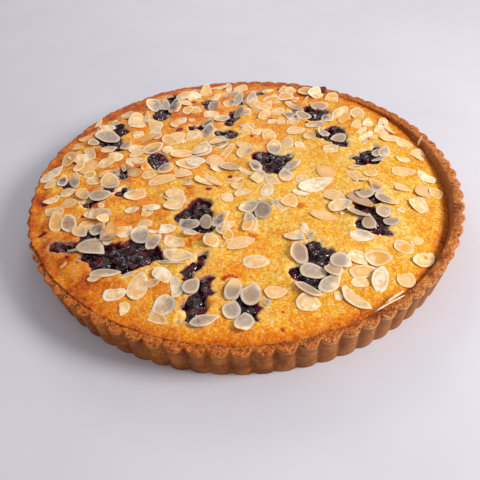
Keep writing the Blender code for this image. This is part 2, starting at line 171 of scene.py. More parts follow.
def nearSide(angle, side, focus):
    # 1 towards that side, less away from it
    return np.exp(focus * (np.cos(angle - math.radians(side)) - 1))


def edgeLumps(angle, size, seed):
    # noise along the edge
    return lumps(onCircle(angle, tart["unevenRadius"]), size, seed)


def widening(angle):
    # the tart is a little out of round
    share, side, focus = tart["bulge"]
    return 1 + share * nearSide(angle, side, focus)


def insideRadius(height):
    # of the case's inside wall, which leans outwards
    share = (height - tart["floorThickness"]) / (tart["rimHeight"] - tart["floorThickness"])
    return tart["rimRadius"] - tart["rimWidth"] - tart["insideFlare"] * (1 - np.clip(share, 0, 1))


surfaceRadius = insideRadius(tart["rimHeight"])


def surfaceHeight(x, y):
    # the sponge's dome and swells, without its lumps
    angle = np.arctan2(y, x)
    share = np.minimum(np.hypot(x, y) / surfaceRadius / widening(angle), 1)
    edge = tart["edgeRise"] + sum(height * nearSide(angle, *side) for height, *side in tart["risen"])
    rise = tart["centreRise"] + (edge - tart["centreRise"]) * share ** tart["domePower"]
    depth, side, focus = tart["sunk"]
    rise = rise - depth * nearSide(angle, side, focus) * share ** tart["sunkPower"]
    swell = lumps(np.column_stack([x, y]), tart["swellLength"])
    swell = swell * tart["swellHeight"] * (1 - share ** tart["swellFade"])
    return tart["rimHeight"] + rise + swell


def poolDistance(points, lobes, softness=1.2):
    # mm from the edge of the berries, negative inside them
    total = 0
    for x, y, radius in lobes:
        total = total + np.exp(-(np.hypot(points[:, 0] - x, points[:, 1] - y) - radius) / softness)
    return -softness * np.log(total + 1e-12)


def raggedPoolDistance(points):
    # the same with an uneven edge, and with the bits of sponge that cover it
    wander = 1.5 * lumps(points, 5.5, seed=3) + 0.8 * lumps(points, 2.2, seed=4)
    away = poolDistance(points, allLobes) + wander - 0.7
    for x, y, radius in spongeBits:
        away = np.maximum(away, radius + wander - np.hypot(points[:, 0] - x, points[:, 1] - y))
    return away


def bakedSide(x, y):
    # 0 at the right, 1 where the oven was hotter, at the left and the back
    return ramp(-0.9 * x + 0.3 * y, -50, 120)


# Parts of the materials


class Nodes:
    # adds nodes to one material or group; each value is a socket, a number or a colour
    def __init__(self, tree):
        self.tree = tree

    def feed(self, socket, value):
        if isinstance(value, bpy.types.NodeSocket):
            self.tree.links.new(value, socket)
        else:
            socket.default_value = value

    def feedAll(self, sockets, values):
        for label, value in values.items():
            self.feed(sockets[label], value)

    def add(self, kind, values=None, **settings):
        made = self.tree.nodes.new("ShaderNode" + kind)
        for setting, value in settings.items():
            setattr(made, setting, value)
        self.feedAll(made.inputs, values or {})
        return made

    def mix(self, factor, first, second, blend="MIX"):
        values = {0: factor, 6: first, 7: second}  # the sockets of the node that belong to colours
        made = self.add("Mix", values, data_type="RGBA", blend_type=blend, clamp_factor=True)
        return made.outputs[2]

    def layers(self, colour, *layers):
        # each layer is a share and the colour that covers what is below by that share
        for share, over in layers:
            colour = self.mix(share, colour, over)
        return colour

    def calculate(self, operation, values, clamp=False):
        made = self.add("Math", dict(enumerate(values)), operation=operation, use_clamp=clamp)
        return made.outputs[0]

    def plus(self, *values, clamp=False):
        return self.calculate("ADD", values, clamp)

    def minus(self, *values):
        return self.calculate("SUBTRACT", values)

    def times(self, *values, clamp=False):
        return self.calculate("MULTIPLY", values, clamp)

    def over(self, *values):
        return self.calculate("DIVIDE", values)

    def most(self, *values):
        return self.calculate("MAXIMUM", values)

    def span(self, value, low, high, toLow=0.0, toHigh=1.0):
        # straight from toLow at low to toHigh at high
        values = {"Value": value, "From Min": low, "From Max": high, "To Min": toLow, "To Max": toHigh}
        return self.add("MapRange", values).outputs["Result"]

    def noise(self, place, scale, detail=2.0, roughness=0.5):
        values = {"Vector": place, "Scale": scale, "Detail": detail, "Roughness": roughness}
        return self.add("TexNoise", values).outputs["Fac"]

    def place(self):
        # in metres, from the middle of the tart's base
        return self.add("TexCoord").outputs["Object"]

    def scaled(self, place, scale):
        return self.add("Mapping", {"Vector": place, "Scale": scale}).outputs[0]

    def axes(self, place):
        return self.add("SeparateXYZ", {0: place}).outputs

    def channels(self, colour):
        return self.add("SeparateColor", {0: colour}).outputs

    def masks(self):
        # the four masks of a piece
        made = self.add("Attribute", attribute_name="masks")
        return [*self.channels(made.outputs["Color"]), made.outputs["Alpha"]]

    def bump(self, height, distance):
        values = {"Height": height, "Distance": distance * mm, "Strength": 1.0}
        return self.add("Bump", values).outputs["Normal"]

    def group(self, group, values):
        return self.add("Group", values, node_tree=group).outputs


def newMaterial(name, plain):
    # plain values stay on the shader itself
    material = bpy.data.materials.new(name)
    material.use_nodes = True
    shader = material.node_tree.nodes["Principled BSDF"].inputs
    nodes = Nodes(material.node_tree)
    nodes.feedAll(shader, plain)
    return material, nodes, shader


def newGroup(name, inputs, outputs):
    # a shader node group with named sockets
    group = bpy.data.node_groups.new(name, "ShaderNodeTree")
    for label, value in inputs.items():
        kind = "NodeSocketColor" if isinstance(value, tuple) else "NodeSocketFloat"
        socket = group.interface.new_socket(label, in_out="INPUT", socket_type=kind)
        socket.default_value = value
    for label, kind in outputs.items():
        group.interface.new_socket(label, in_out="OUTPUT", socket_type=kind)
    given = group.nodes.new("NodeGroupInput").outputs
    return group, given, group.nodes.new("NodeGroupOutput").inputs


def makeCrumbGroup():
    # grain of baked dough: pale granules and dark pits, for colour and for relief
    group, given, out = newGroup(
        "bakedCrumb",
        {
            "Crumb Size": 1.0,
            "Light Specks": 0.5,
            "Dark Pits": 0.5,
            "Colour": (0.8, 0.5, 0.2, 1),
            "Speck Colour": (0.9, 0.8, 0.6, 1),
            "Pit Tint": (0.6, 0.4, 0.3, 1),
        },
        {"Colour": "NodeSocketColor", "Height": "NodeSocketFloat"},
    )
    nodes = Nodes(group)
    place = nodes.place()
    scale = nodes.over(1000.0, given["Crumb Size"])
    coarse, broad = [nodes.noise(place, nodes.times(scale, share), detail=3) for share in (0.5, 0.16)]
    granules = nodes.add("TexVoronoi", {"Vector": place, "Scale": scale}).outputs
    tone = nodes.channels(granules["Color"])[0]
    rounded = nodes.span(granules["Distance"], 0.65, 0.15)
    specks = nodes.times(nodes.span(tone, 0.45, 0.9), rounded)
    specks = nodes.times(specks, nodes.span(broad, 0.35, 0.6, 0.5, 1.3))
    specks = nodes.times(specks, given["Light Specks"], clamp=True)
    pits = nodes.most(nodes.span(coarse, 0.54, 0.38), nodes.span(tone, 0.42, 0.08))
    pits = nodes.times(pits, given["Dark Pits"], clamp=True)
    dark = nodes.mix(1.0, given["Colour"], given["Pit Tint"], "MULTIPLY")
    colour = nodes.layers(given["Colour"], (pits, dark), (specks, given["Speck Colour"]))
    height = nodes.plus(coarse, nodes.times(rounded, 0.25))
    nodes.feedAll(out, {"Colour": colour, "Height": height})
    return group


crumbGroup = makeCrumbGroup()

# Almond sponge

sponge = {
    "cells": 300,  # across the square that is bent into the disc
    "lumpHeight": 1.0,
    "lumpSize": 13,
    "ridges": 0.55,  # ridges that the oven raised between the berries
    "ridgeSize": 21,
    "crumbHeight": 0.3,
    "crumbSize": 2.2,
    "wellDepth": 3.4,
    "wellWall": 2.6,
    "puffHeight": 0.8,  # the sponge round a pool
    "puffWidth": 6,
    "lipReach": 4.2,  # over the pastry, where the sponge has risen
    "lipRise": (0.1, 1.6),  # mm over the rim: none of the lip, and all of it
    "lipThickness": 1.5,
    "poolReach": 8,  # mm of distance from the pools that the masks hold
    "darkSides": (  # how much browner, from which share of the radius to which, side and how narrowly
        (0.1, 0.55, 0.85, -140, 3),
        (0.09, 0.78, 0.98, -75, 1.2),
        (0.08, 0.4, 0.9, 45, 2),
    ),
    "edgeOverlap": 0.5,  # it is baked into the pastry this far
    "bodyTop": 20.5,
    "bodyMiddle": 8,
    "bodyGap": 0.4,  # over the pastry's floor
    "finish": {  # set on the shader itself
        "Specular IOR Level": 0.1,
        "Subsurface Weight": 0.1,
        "Subsurface Radius": (0.003, 0.0015, 0.0006),
        "Subsurface Scale": 0.5,
    },
    "grain": {"Crumb Size": 0.9, "Light Specks": 0.8, "Dark Pits": 0.8, "Pit Tint": (0.9, 0.54, 0.04, 1)},
    "grainDepth": 0.38,
    "golden": linear(241, 182, 44),
    "tones": [  # paler and browner colours, each over a range of browning
        (linear(247, 213, 118), 0.12, -0.15),
        (linear(232, 142, 10), 0.15, 0.5),
        (linear(192, 86, 6), 0.55, 1.0),
        (linear(104, 36, 8), 1.0, 1.35),
    ],
    "speck": linear(252, 227, 186),
    "juice": linear(46, 22, 32),
    "jam": linear(112, 22, 40),
    "thinJam": linear(176, 42, 16),
    "damp": linear(218, 176, 116),
    "dampness": 0.28,
    "thinJamDepth": 0.6,  # in the mask, where the thick jam has 1
    # painted shade: what the sponge's colour is multiplied by on the right
    "paintedRightShade": (0.88, 0.93, 1.0, 1),
}

# Places of these on the sponge: x, y and radius in mm
brownSpots = [
    (-25, -57, 4), (-32, -61, 3), (-21, -106, 3.5), (-33, -104, 2.6), (-30, 32, 3), (-24, 60, 3),
    (-38, -27, 3.5), (-33, -9, 3), (-46, 22, 3), (-96, 83, 3), (-64, 54, 3.5), (-73, -15, 3.5),
    (-49, -54, 3.5), (5, -58, 3), (18, 27, 3), (-92, -22, 3.5), (-102, -69, 4), (-86, -86, 4),
    (-62, -95, 3.5), (-48, 106, 3), (10, 100, 3), (35, -34, 3),
]
jamSpots = [
    (-126, -16, 2.4), (-120, -43, 2.1), (-121.5, -44.5, 1.7), (-98, -31, 1.8), (-21, -12, 2.2),
    (-7, 0, 1.6), (-34, 100, 2.2), (9, 46, 1.6), (24, 68, 2.5), (-43, 60, 2.4), (-39, 52, 2),
    (-72, 24, 2.6), (7, -40, 1.2), (-30, -90, 2.5), (-68, 15, 1.6), (-101, -66, 1.4), (34, 118, 2),
    (66, 62, 2), (50, 60, 1.6),
]
# thinner, redder jam: an arc round a flake at the front and two small spots
thinJamSpots = [
    (-12.1, -90.6, 1.5), (-10.8, -89.3, 1.4), (-9.1, -88.4, 1.3), (-7.3, -88.4, 1.3), (-5.6, -89.5, 1.2),
    (-11.9, -98.2, 1.3), (-11.6, -96.4, 1.2), (17.6, -113.7, 1.1), (16.4, -124.2, 1.4),
]


def discPoints(cells):
    # a square grid bent into a disc of radius 1, with even cells
    line = np.linspace(-1, 1, cells + 1)
    u, v = np.meshgrid(line, line, indexing="ij")
    wide = np.abs(u) >= np.abs(v)
    safeU = np.where(u == 0, 1, u)
    safeV = np.where(v == 0, 1, v)
    radius = np.where(wide, u, v)
    angle = np.where(wide, math.pi / 4 * v / safeU, math.pi / 2 - math.pi / 4 * u / safeV)
    return (radius * np.cos(angle)).ravel(), (radius * np.sin(angle)).ravel()


def spongeTop(x, y):
    # the baked surface with its lumps, wells and crumb, and the distance from the berries
    points = np.column_stack([x, y])
    share = np.hypot(x, y) / surfaceRadius / widening(np.arctan2(y, x))
    away = raggedPoolDistance(points)
    hot = bakedSide(x, y)
    ridges = 0.4 - 2.2 * np.abs(lumps(points, sponge["ridgeSize"], seed=12))
    relief = lumps(points, sponge["lumpSize"], seed=1, octaves=2) + sponge["ridges"] * ridges * hot
    height = surfaceHeight(x, y)
    height += sponge["lumpHeight"] * relief * (0.35 + 0.65 * hot) * (1 - 0.7 * share**6)
    height += sponge["crumbHeight"] * lumps(points, sponge["crumbSize"], seed=2, octaves=3)
    puff = np.exp(-(((away - 2.5) / sponge["puffWidth"]) ** 2)) * sponge["puffHeight"]
    height += puff * ramp(away, -0.3, 1.4)
    height -= sponge["wellDepth"] * ramp(-away, 0, sponge["wellWall"])
    height -= (0.3 + 0.5 * ramp(height - tart["rimHeight"], 0.3, 1.3)) * ramp(share, 0.95, 1.0)
    return height, away, share, relief


def spongeEdge(angle):
    # the radius of the case's wall, and of the sponge's edge, which runs over the rim where it rose
    height = surfaceHeight(*onCircle(angle, tart["beyond"]).T)
    risen = ramp(height - tart["rimHeight"], *sponge["lipRise"])
    uneven = 1 + 0.35 * edgeLumps(angle, 9, seed=8) + 0.25 * edgeLumps(angle, 3, seed=9)
    wall = insideRadius(np.minimum(height, tart["rimHeight"])) + sponge["edgeOverlap"]
    return wall, (wall + sponge["lipReach"] * risen * uneven) * widening(angle)


def spotShapes(points, spots, uneven, edge, full, flatness=1.0):
    # for each spot: 1 on it, 0 past its uneven edge
    for x, y, radius in spots:
        apart = np.hypot(points[:, 0] - x, (points[:, 1] - y) * flatness) / radius + uneven
        yield ramp(-apart, -edge, -full)


def spongeMasks(x, y, away, share, relief):
    # how browned, how far from the berries, how jammy and how damp
    flat = np.column_stack([x, y])
    angle = np.arctan2(y, x)
    hot = bakedSide(x, y)
    right = nearSide(angle, -20, 1.5)
    back = nearSide(angle, 95, 1.2) * ramp(share, 0.2, 0.7)
    edgeTone = 0.5 - 0.22 * hot + 0.25 * right
    edgeStart = 0.9 + 0.06 * right - 0.03 * right**4
    browned = 0.28 + 0.14 * hot + 0.16 * back - 0.19 * right
    browned += (0.18 + 0.16 * hot - 0.08 * right) * lumps(flat, 22, seed=5, octaves=3)
    browned += (0.12 + 0.16 * hot) * lumps(flat, 5, seed=6, octaves=2)
    browned += (0.14 + 0.3 * np.maximum(hot, back)) * relief
    browned += edgeTone * ramp(share, edgeStart, 1.03 - 0.04 * right)
    browned += 0.1 * ramp(share, 0.6, 1.0) * hot - 0.1 * (1 - ramp(share, 0.1, 0.8))
    for amount, start, end, *side in sponge["darkSides"]:
        browned += amount * ramp(share, start, end) * nearSide(angle, *side)
    browned += 0.65 * sum(spotShapes(flat, brownSpots, 0.4 * lumps(flat, 2.5, seed=13), 1.3, 0.5))
    browned -= (0.34 - 0.12 * hot) * np.exp(-np.maximum(away, 0) / 4.5)
    uneven = 0.45 * lumps(flat, 2.0, seed=11)
    jam = np.maximum.reduce(list(spotShapes(flat, jamSpots, uneven, 1.25, 0.6, flatness=1.2)))
    thinJam = np.maximum.reduce(list(spotShapes(flat, thinJamSpots, 0, 1.25, 0.5)))
    jam = np.maximum(jam, sponge["thinJamDepth"] * thinJam)
    damp = np.exp(-np.maximum(away, 0) / 3.2) * ramp(lumps(flat, 9, seed=10), -0.15, 0.35)
    return np.column_stack([browned, 0.5 + away / 2 / sponge["poolReach"], jam, damp])


def makeSponge(material):
    cells = sponge["cells"]
    u, v = discPoints(cells)
    angle = np.arctan2(v, u)
    wall, outer = spongeEdge(angle)
    x, y = u * outer, v * outer
    height, away, share, relief = spongeTop(x, y)
    index = np.arange(len(x)).reshape(cells + 1, cells + 1)
    points = [np.column_stack([x, y, height])]
    faces = gridQuads(index).reshape(-1, 4).tolist()

    # the edge turns down over the rim or into the case, and a plain body closes it below
    loop = np.concatenate([index[:-1, 0], index[-1, :-1], index[:0:-1, -1], index[0, :0:-1]])
    side, wide = angle[loop], widening(angle[loop])
    lipBottom = height[loop] - sponge["lipThickness"]
    middle, bottom = sponge["bodyMiddle"], tart["floorThickness"] + sponge["bodyGap"]
    rings = [
        (outer[loop] - 0.2, height[loop] - 0.6),
        (outer[loop] - 0.9, lipBottom),
        ((wall[loop] - 0.3) * wide, np.minimum(lipBottom, sponge["bodyTop"])),
        ((insideRadius(middle) - 0.5) * wide, np.full(len(loop), middle)),
        ((insideRadius(0) - 0.5) * wide, np.full(len(loop), bottom)),
    ]
    points += [np.column_stack([onCircle(side, radius), level]) for radius, level in rings]
    points = np.vstack([*points, [[0, 0, bottom]]])
    below = np.arange(len(x), len(points) - 1).reshape(len(rings), len(loop))
    faces += ringQuads(np.vstack([loop, below])[::-1]) + fan(below[-1][::-1], len(points) - 1)
    masks = np.tile([0.8, 1.0, 0.0, 0.0], (len(points), 1))
    masks[: len(x)] = spongeMasks(x, y, away, share, relief)
    masks = np.clip(masks, 0, 1)
    makePiece("almondSponge", points, faces, material, "almond_sponge", masks)


def spongeMaterial():
    material, nodes, shader = newMaterial("almondSponge", sponge["finish"])
    browned, distance, jam, damp = nodes.masks()
    place = nodes.place()
    patches = nodes.noise(place, 240, detail=4, roughness=0.65)
    level = nodes.plus(browned, nodes.span(patches, 0.3, 0.7, -0.2, 0.2))
    tones = [(nodes.span(level, start, end), tone) for tone, start, end in sponge["tones"]]
    colour = nodes.layers(sponge["golden"], *tones)
    speck = nodes.mix(nodes.span(level, 0.8, 0.1, 0.25, 1.0), colour, sponge["speck"])
    # painted shade: the colour is a little darker towards the right
    paintedRightShade = nodes.mix(1.0, colour, sponge["paintedRightShade"], "MULTIPLY")
    colour = nodes.mix(nodes.span(nodes.axes(place)["X"], 0.01, 0.11), colour, paintedRightShade)
    crumb = nodes.group(crumbGroup, {**sponge["grain"], "Colour": colour, "Speck Colour": speck})
    # the berries' edge, made ragged at a finer size than the mesh
    ragged = nodes.noise(nodes.scaled(place, (1, 1, 0)), 380, detail=3, roughness=0.6)
    reach = sponge["poolReach"]
    away = nodes.span(distance, 0, 1, -reach, reach)
    away = nodes.plus(away, nodes.span(ragged, 0.25, 0.75, -0.4, 0.5))
    creamy = nodes.times(nodes.span(away, 1.1, 0.2), nodes.span(patches, 0.4, 0.56, 0.1, 0.7))
    # here and there the juice has run a little way out
    runOut = nodes.times(nodes.span(away, 1.1, -0.2), nodes.span(nodes.noise(place, 55), 0.43, 0.55))
    thin = sponge["thinJamDepth"]
    spots = nodes.mix(nodes.span(jam, thin, 0.95), sponge["thinJam"], sponge["jam"])
    colour = nodes.layers(
        crumb["Colour"],
        (nodes.times(damp, sponge["dampness"]), sponge["damp"]),
        (creamy, sponge["speck"]),
        (runOut, sponge["jam"]),
        (nodes.span(away, -0.7, -1.4), sponge["juice"]),
        (nodes.span(jam, 0.0, thin), spots),
    )
    wet = nodes.most(jam, nodes.span(away, 0.6, 0.0))
    surface = {
        "Base Color": colour,
        "Roughness": nodes.span(wet, 0, 1, 0.5, 0.25),
        "Normal": nodes.bump(crumb["Height"], sponge["grainDepth"]),
    }
    nodes.feedAll(shader, surface)
    return material


makeSponge(spongeMaterial())
print("the almond sponge is baked")

# Cooked berries

berries = {
    "step": 0.42,  # between mesh points
    "margin": 4,  # of the mesh past a pool's lobes
    "overlap": 1.2,  # how far a pool runs on under the sponge's edge
    "perArea": 20,  # mm2 of pool for each berry
    "fewest": 3,  # berries in a pool
    "highest": 0.5,  # over the sponge
    "sizes": (2.2, 4.4),
    "lifts": (-1.5, 0.3),
    "spread": 0.95,  # the share of a lobe's radius that their middles keep within
    "gapDepth": 2.5,  # between berries, under the level that they lie on
    "flatness": 0.7,
    "recess": 0.6,  # under the sponge
    "wrinkle": 0.85,
    "wrinkleSize": 2.6,
    "depth": 3.6,  # of a pool under the level that its berries lie on
    "finish": {"Specular IOR Level": 0.1, "Coat Roughness": 0.07, "Coat IOR": 1.7},
    "skin": linear(38, 10, 11),
    "flesh": linear(128, 22, 44),
    "bloom": linear(132, 104, 106),
    "bloomShare": 0.4,
    "wrinkleBump": 3.2,
}

berryTops = []  # for the flakes that lie on the berries


def berryHeights(flat, lobes, away, number):
    # how high the overlapping, wrinkled berries reach, and the level that they lie on
    draw = random.Random(100 + number)
    base = surfaceHeight(flat[:, 0], flat[:, 1]) - berries["recess"]
    bulk = base - berries["gapDepth"]
    area = math.pi * (lobes[:, 2] ** 2).sum()
    for _ in range(max(berries["fewest"], int(area / berries["perArea"]))):
        lobe = lobes[draw.choices(range(len(lobes)), weights=lobes[:, 2] ** 2)[0]]
        turn = draw.uniform(0, math.tau)
        outwards = lobe[2] * math.sqrt(draw.random()) * berries["spread"]
        middle = lobe[:2] + np.array([math.cos(turn), math.sin(turn)]) * outwards
        size = draw.uniform(*berries["sizes"])
        lift = draw.uniform(*berries["lifts"])
        gap = np.hypot(*(flat - middle).T)
        cap = np.sqrt(np.maximum(size**2 - gap**2, 0)) * berries["flatness"]
        bulk = np.where(gap < size, np.maximum(bulk, base + lift + cap - 0.6), bulk)
    highest = base + berries["recess"] + berries["highest"]
    bulk = highest - 0.8 * np.log1p(np.exp((highest - bulk) / 0.8))
    bulk += berries["wrinkle"] * lumps(flat, berries["wrinkleSize"], seed=20 + number, octaves=3)
    return bulk - 0.8 * ramp(away, -1.6, berries["overlap"]), base


def largestPatch(cells):
    # keeps the largest connected patch of true cells
    left = {tuple(cell) for cell in np.argwhere(cells)}
    best = set()
    while left:
        patch, waiting = set(), [left.pop()]
        while waiting:
            cell = waiting.pop()
            patch.add(cell)
            for step in ((1, 0), (-1, 0), (0, 1), (0, -1)):
                near = (cell[0] + step[0], cell[1] + step[1])
                if near in left:
                    left.remove(near)
                    waiting.append(near)
        if len(patch) > len(best):
            best = patch
    kept = np.zeros_like(cells)
    kept[tuple(np.array(sorted(best)).T)] = True
    return kept


def makePool(number, lobes, material):
    lobes = np.array(lobes, float)
    low = (lobes[:, :2] - lobes[:, 2:]).min(0) - berries["margin"]
    high = (lobes[:, :2] + lobes[:, 2:]).max(0) + berries["margin"]
    lines = [np.arange(*ends, berries["step"]) for ends in zip(low, high)]
    gridX, gridY = np.meshgrid(*lines, indexing="ij")
    flat = np.column_stack([gridX.ravel(), gridY.ravel()])
    away = raggedPoolDistance(flat)
    bulk, base = berryHeights(flat, lobes, away, number)
    kept = (away < berries["overlap"]) & (poolDistance(flat, lobes) < berries["margin"])
    quads = gridQuads(np.arange(gridX.size).reshape(gridX.shape))
    quads = quads[largestPatch(kept[quads].all(-1))]
    used, quads = np.unique(quads, return_inverse=True)
    quads = quads.reshape(-1, 4)
    count = len(used)
    top = np.column_stack([flat[used], bulk[used]])
    bottom = np.column_stack([flat[used], base[used] - berries["depth"]])
    berryTops.append(top)

    # the top and its copy below, joined by a wall round the edge
    faces = quads.tolist() + (quads[:, ::-1] + count).tolist()
    edges = np.concatenate([quads[:, [corner, (corner + 1) % 4]] for corner in range(4)])
    known = {tuple(edge) for edge in edges.tolist()}
    faces += [(b, a, a + count, b + count) for a, b in known if (b, a) not in known]

    # masks: how much flesh shows and where the skin has its bloom
    flesh = ramp(lumps(flat[used], 4, seed=40 + number), 0.05, 0.5) + 0.8 * ramp(away[used], -1.8, 0.2)
    bloom = ramp(lumps(flat[used], 1.8, seed=60 + number, octaves=2), 0.25, 0.7)
    masks = np.tile(np.column_stack([np.clip(flesh, 0, 1), bloom]), (2, 1))
    name, node = f"berryPool{number:02d}", f"berry_pool_{number:02d}"
    makePiece(name, np.vstack([top, bottom]), faces, material, node, masks)


def berryMaterial():
    material, nodes, shader = newMaterial("cookedBerries", berries["finish"])
    flesh, bloom = nodes.masks()[:2]
    place = nodes.place()
    fine = nodes.noise(place, 520, detail=3, roughness=0.6)
    patches = nodes.noise(place, 300)
    redness = nodes.times(flesh, nodes.span(patches, 0.38, 0.58, 0.15, 1.0))
    colour = nodes.mix(redness, berries["skin"], berries["flesh"])
    surface = {
        "Base Color": nodes.mix(nodes.times(bloom, berries["bloomShare"]), colour, berries["bloom"]),
        "Roughness": nodes.span(fine, 0.35, 0.65, 0.1, 0.3),
        # skins shine here and there, and the flesh between them hardly
        "Coat Weight": nodes.span(nodes.noise(place, 210), 0.44, 0.6, 0.02, 1.0),
        "Normal": nodes.bump(nodes.plus(fine, patches), berries["wrinkleBump"]),
    }
    nodes.feedAll(shader, surface)
    return material


berryFinish = berryMaterial()
for number, lobes in enumerate(poolLobes, 1):
    makePool(number, lobes, berryFinish)
print(len(poolLobes), "pools of berries are set in the sponge")

# Pastry case

crust = {
    "flutes": 76,
    "fluteDepth": 3.7,
    "shallower": (0.55, 45, 1),  # the share of it lost, on which side, how narrowly
    "fluteFullness": 0.94,
    "firstCrest": -91.9,
    "columns": 22,  # for each flute
    "wallRows": 16,
    "roundingRows": 3,
    "rimRows": 9,
    "insideRows": 10,
    "valleyRounding": 0.2,
    "baseFlutes": 0.42,  # the share of their depth that the flutes keep at the base
    "rounding": 0.7,
    "rimDip": 0.35,  # the rim's inner edge lies this much lower
    "ledge": 0.5,  # the rim stands out this far over the wall
    "crumble": 0.45,
    "crumbleSize": 1.9,
    "worn": (1.5, -160, 14),  # the rim has crumbled away here: mm, side and how narrowly
    "burnt": (58.6, 135, 3.4, 1.6),  # a burnt bump on the rim: side, radius, half width and height
    "wander": 0.5,
    "spilt": (-48, 2.2),  # the filling has run over the rim here: side and how narrowly
    "finish": {"Roughness": 0.55, "Specular IOR Level": 0.18},
    "grain": {"Crumb Size": 0.9, "Speck Colour": linear(246, 190, 122), "Pit Tint": (0.6, 0.42, 0.3, 1)},
    "grainDepth": 0.8,
    "wall": linear(236, 152, 60),
    # painted light: the wall's colour on the lit right
    "wallPaintedLit": linear(255, 210, 142),
    # painted highlight on the flutes' crests
    "wallCrestHighlight": linear(255, 226, 176),
    "wallShaded": linear(246, 174, 100),
    # also the painted shade in the valleys, inside the case and on the left
    "wallDark": linear(140, 66, 16),
    "rim": linear(204, 108, 28),
    # painted light: the rim's colour on the lit right
    "rimPaintedLit": linear(214, 134, 74),
    "rimDark": linear(108, 40, 14),
    "burntColour": linear(70, 30, 18),
    "spiltPale": linear(208, 122, 42),
    "spiltDark": linear(140, 62, 18),
}


def fluteShape(turn):
    # 0 on a lobe's crest, 1 in a valley
    fromCrest = np.abs((turn + 0.5) % 1 - 0.5) * 2
    rounding = crust["valleyRounding"]
    fromCrest = (1 - np.hypot(1 - fromCrest, rounding)) / (1 - rounding)
    lobe = 1 - np.sqrt(1 - crust["fluteFullness"] * np.maximum(fromCrest, 0) ** 2)
    return lobe / (1 - math.sqrt(1 - crust["fluteFullness"]))


def crustProfile():
    # rows up the wall, over the rim and down inside: radius, share of the flutes, height, crumbliness
    top, rounding, base = tart["rimHeight"], crust["rounding"], tart["baseRadius"]
    profile = []
    for row in range(crust["wallRows"]):
        share = row / (crust["wallRows"] - 1)
        radius = base + (tart["rimRadius"] - base) * share
        radius -= crust["ledge"] * float(ramp(share, 0.3, 0.75) - ramp(share, 0.8, 0.95))
        fluted = crust["baseFlutes"] + (1 - crust["baseFlutes"]) * share**0.7
        profile.append((radius, fluted, (top - rounding) * share, 0.1 + 0.9 * share**8))
    for row in range(1, crust["roundingRows"] + 1):
        bend = math.pi / 2 * row / crust["roundingRows"]
        radius = tart["rimRadius"] - rounding * (1 - math.cos(bend))
        profile.append((radius, 1.0, top - rounding * (1 - math.sin(bend)), 1.0))
    outer = tart["rimRadius"] - rounding
    for row in range(1, crust["rimRows"]):
        share = row / crust["rimRows"]
        radius = outer + (surfaceRadius - outer) * share
        profile.append((radius, (1 - share) ** 1.3, top - crust["rimDip"] * share**2, 1.0))
    insideTop = top - 0.5
    for row in range(crust["insideRows"]):
        share = row / (crust["insideRows"] - 1)
        height = insideTop - (insideTop - tart["floorThickness"]) * share**1.2
        profile.append((float(insideRadius(height)), 0.0, height, 0.6 * (1 - share)))
    return profile


def makeCrust(material):
    columns = crust["flutes"] * crust["columns"]
    angle = math.radians(crust["firstCrest"]) + math.tau * np.arange(columns) / columns
    outwards = onCircle(angle)
    valley = fluteShape(np.arange(columns) / crust["columns"])
    lost, *shallowSide = crust["shallower"]
    inset = crust["fluteDepth"] * valley * (1 - lost * nearSide(angle, *shallowSide))
    wornDepth, *wornSide = crust["worn"]
    worn = wornDepth * nearSide(angle, *wornSide) * (0.6 + 0.5 * edgeLumps(angle, 4, seed=33))
    burntSide, burntRadius, burntWidth, burntHeight = crust["burnt"]
    fromBurnt = (angle - math.radians(burntSide) + math.pi) % math.tau - math.pi
    burnt = np.exp(-((fromBurnt * burntRadius / burntWidth) ** 2))
    spilt = nearSide(angle, *crust["spilt"])
    top = tart["rimHeight"]
    rows, masks = [], []
    for radius, fluted, height, crumbly in crustProfile():
        around = (radius - inset * fluted) * widening(angle)
        spot = np.column_stack([onCircle(angle, around), np.full(columns, height)])
        rough = lumps(spot, crust["crumbleSize"], seed=30, octaves=3) * crust["crumble"] * crumbly
        slow = lumps(spot * [1, 1, 0], 12, seed=31) * crust["wander"] * (height / top) ** 4
        side = 0.75 * rough if fluted else -0.6 * rough
        burntHere = burnt * (height > top - 3)
        spot[:, :2] += outwards * side[:, None]
        spot[:, 2] += (0.8 * rough + slow) * (height / top) ** 3 - worn * (height / top) ** 8
        spot[:, 2] += burntHeight * burntHere
        rows.append(spot)
        # masks: the rim, raised crumbs, a mark and the burnt bump; the mark is for valleys on the wall,
        # for spilt filling on the rim, and 1 inside the case, and on the wall and inside it gives painted
        # shade
        onRim = height > top - crust["rounding"] - 0.4 and radius > surfaceRadius - 0.4
        inwards = (tart["rimRadius"] - radius) / tart["rimWidth"]
        mark = valley if inwards < 0.12 else np.ones(columns)
        if onRim:
            mark = spilt * min(max(inwards * 1.5, 0), 1)
        raised = 0.5 + 0.5 * rough / crust["crumble"]
        masks.append(np.column_stack([np.full(columns, float(onRim)), raised, mark, burntHere]))
    rows[0][:, 2] = 0
    points = np.vstack([*rows, [[0, 0, 0]], [[0, 0, tart["floorThickness"]]]])
    masks = np.clip(np.vstack([*masks, [[0, 0.5, 0, 0]] * 2]), 0, 1)
    index = np.arange(len(rows) * columns).reshape(len(rows), columns)
    faces = ringQuads(index) + fan(index[0][::-1], index.size) + fan(index[-1], index.size + 1)
    makePiece("pastryCase", points, faces, material, "crust", masks)


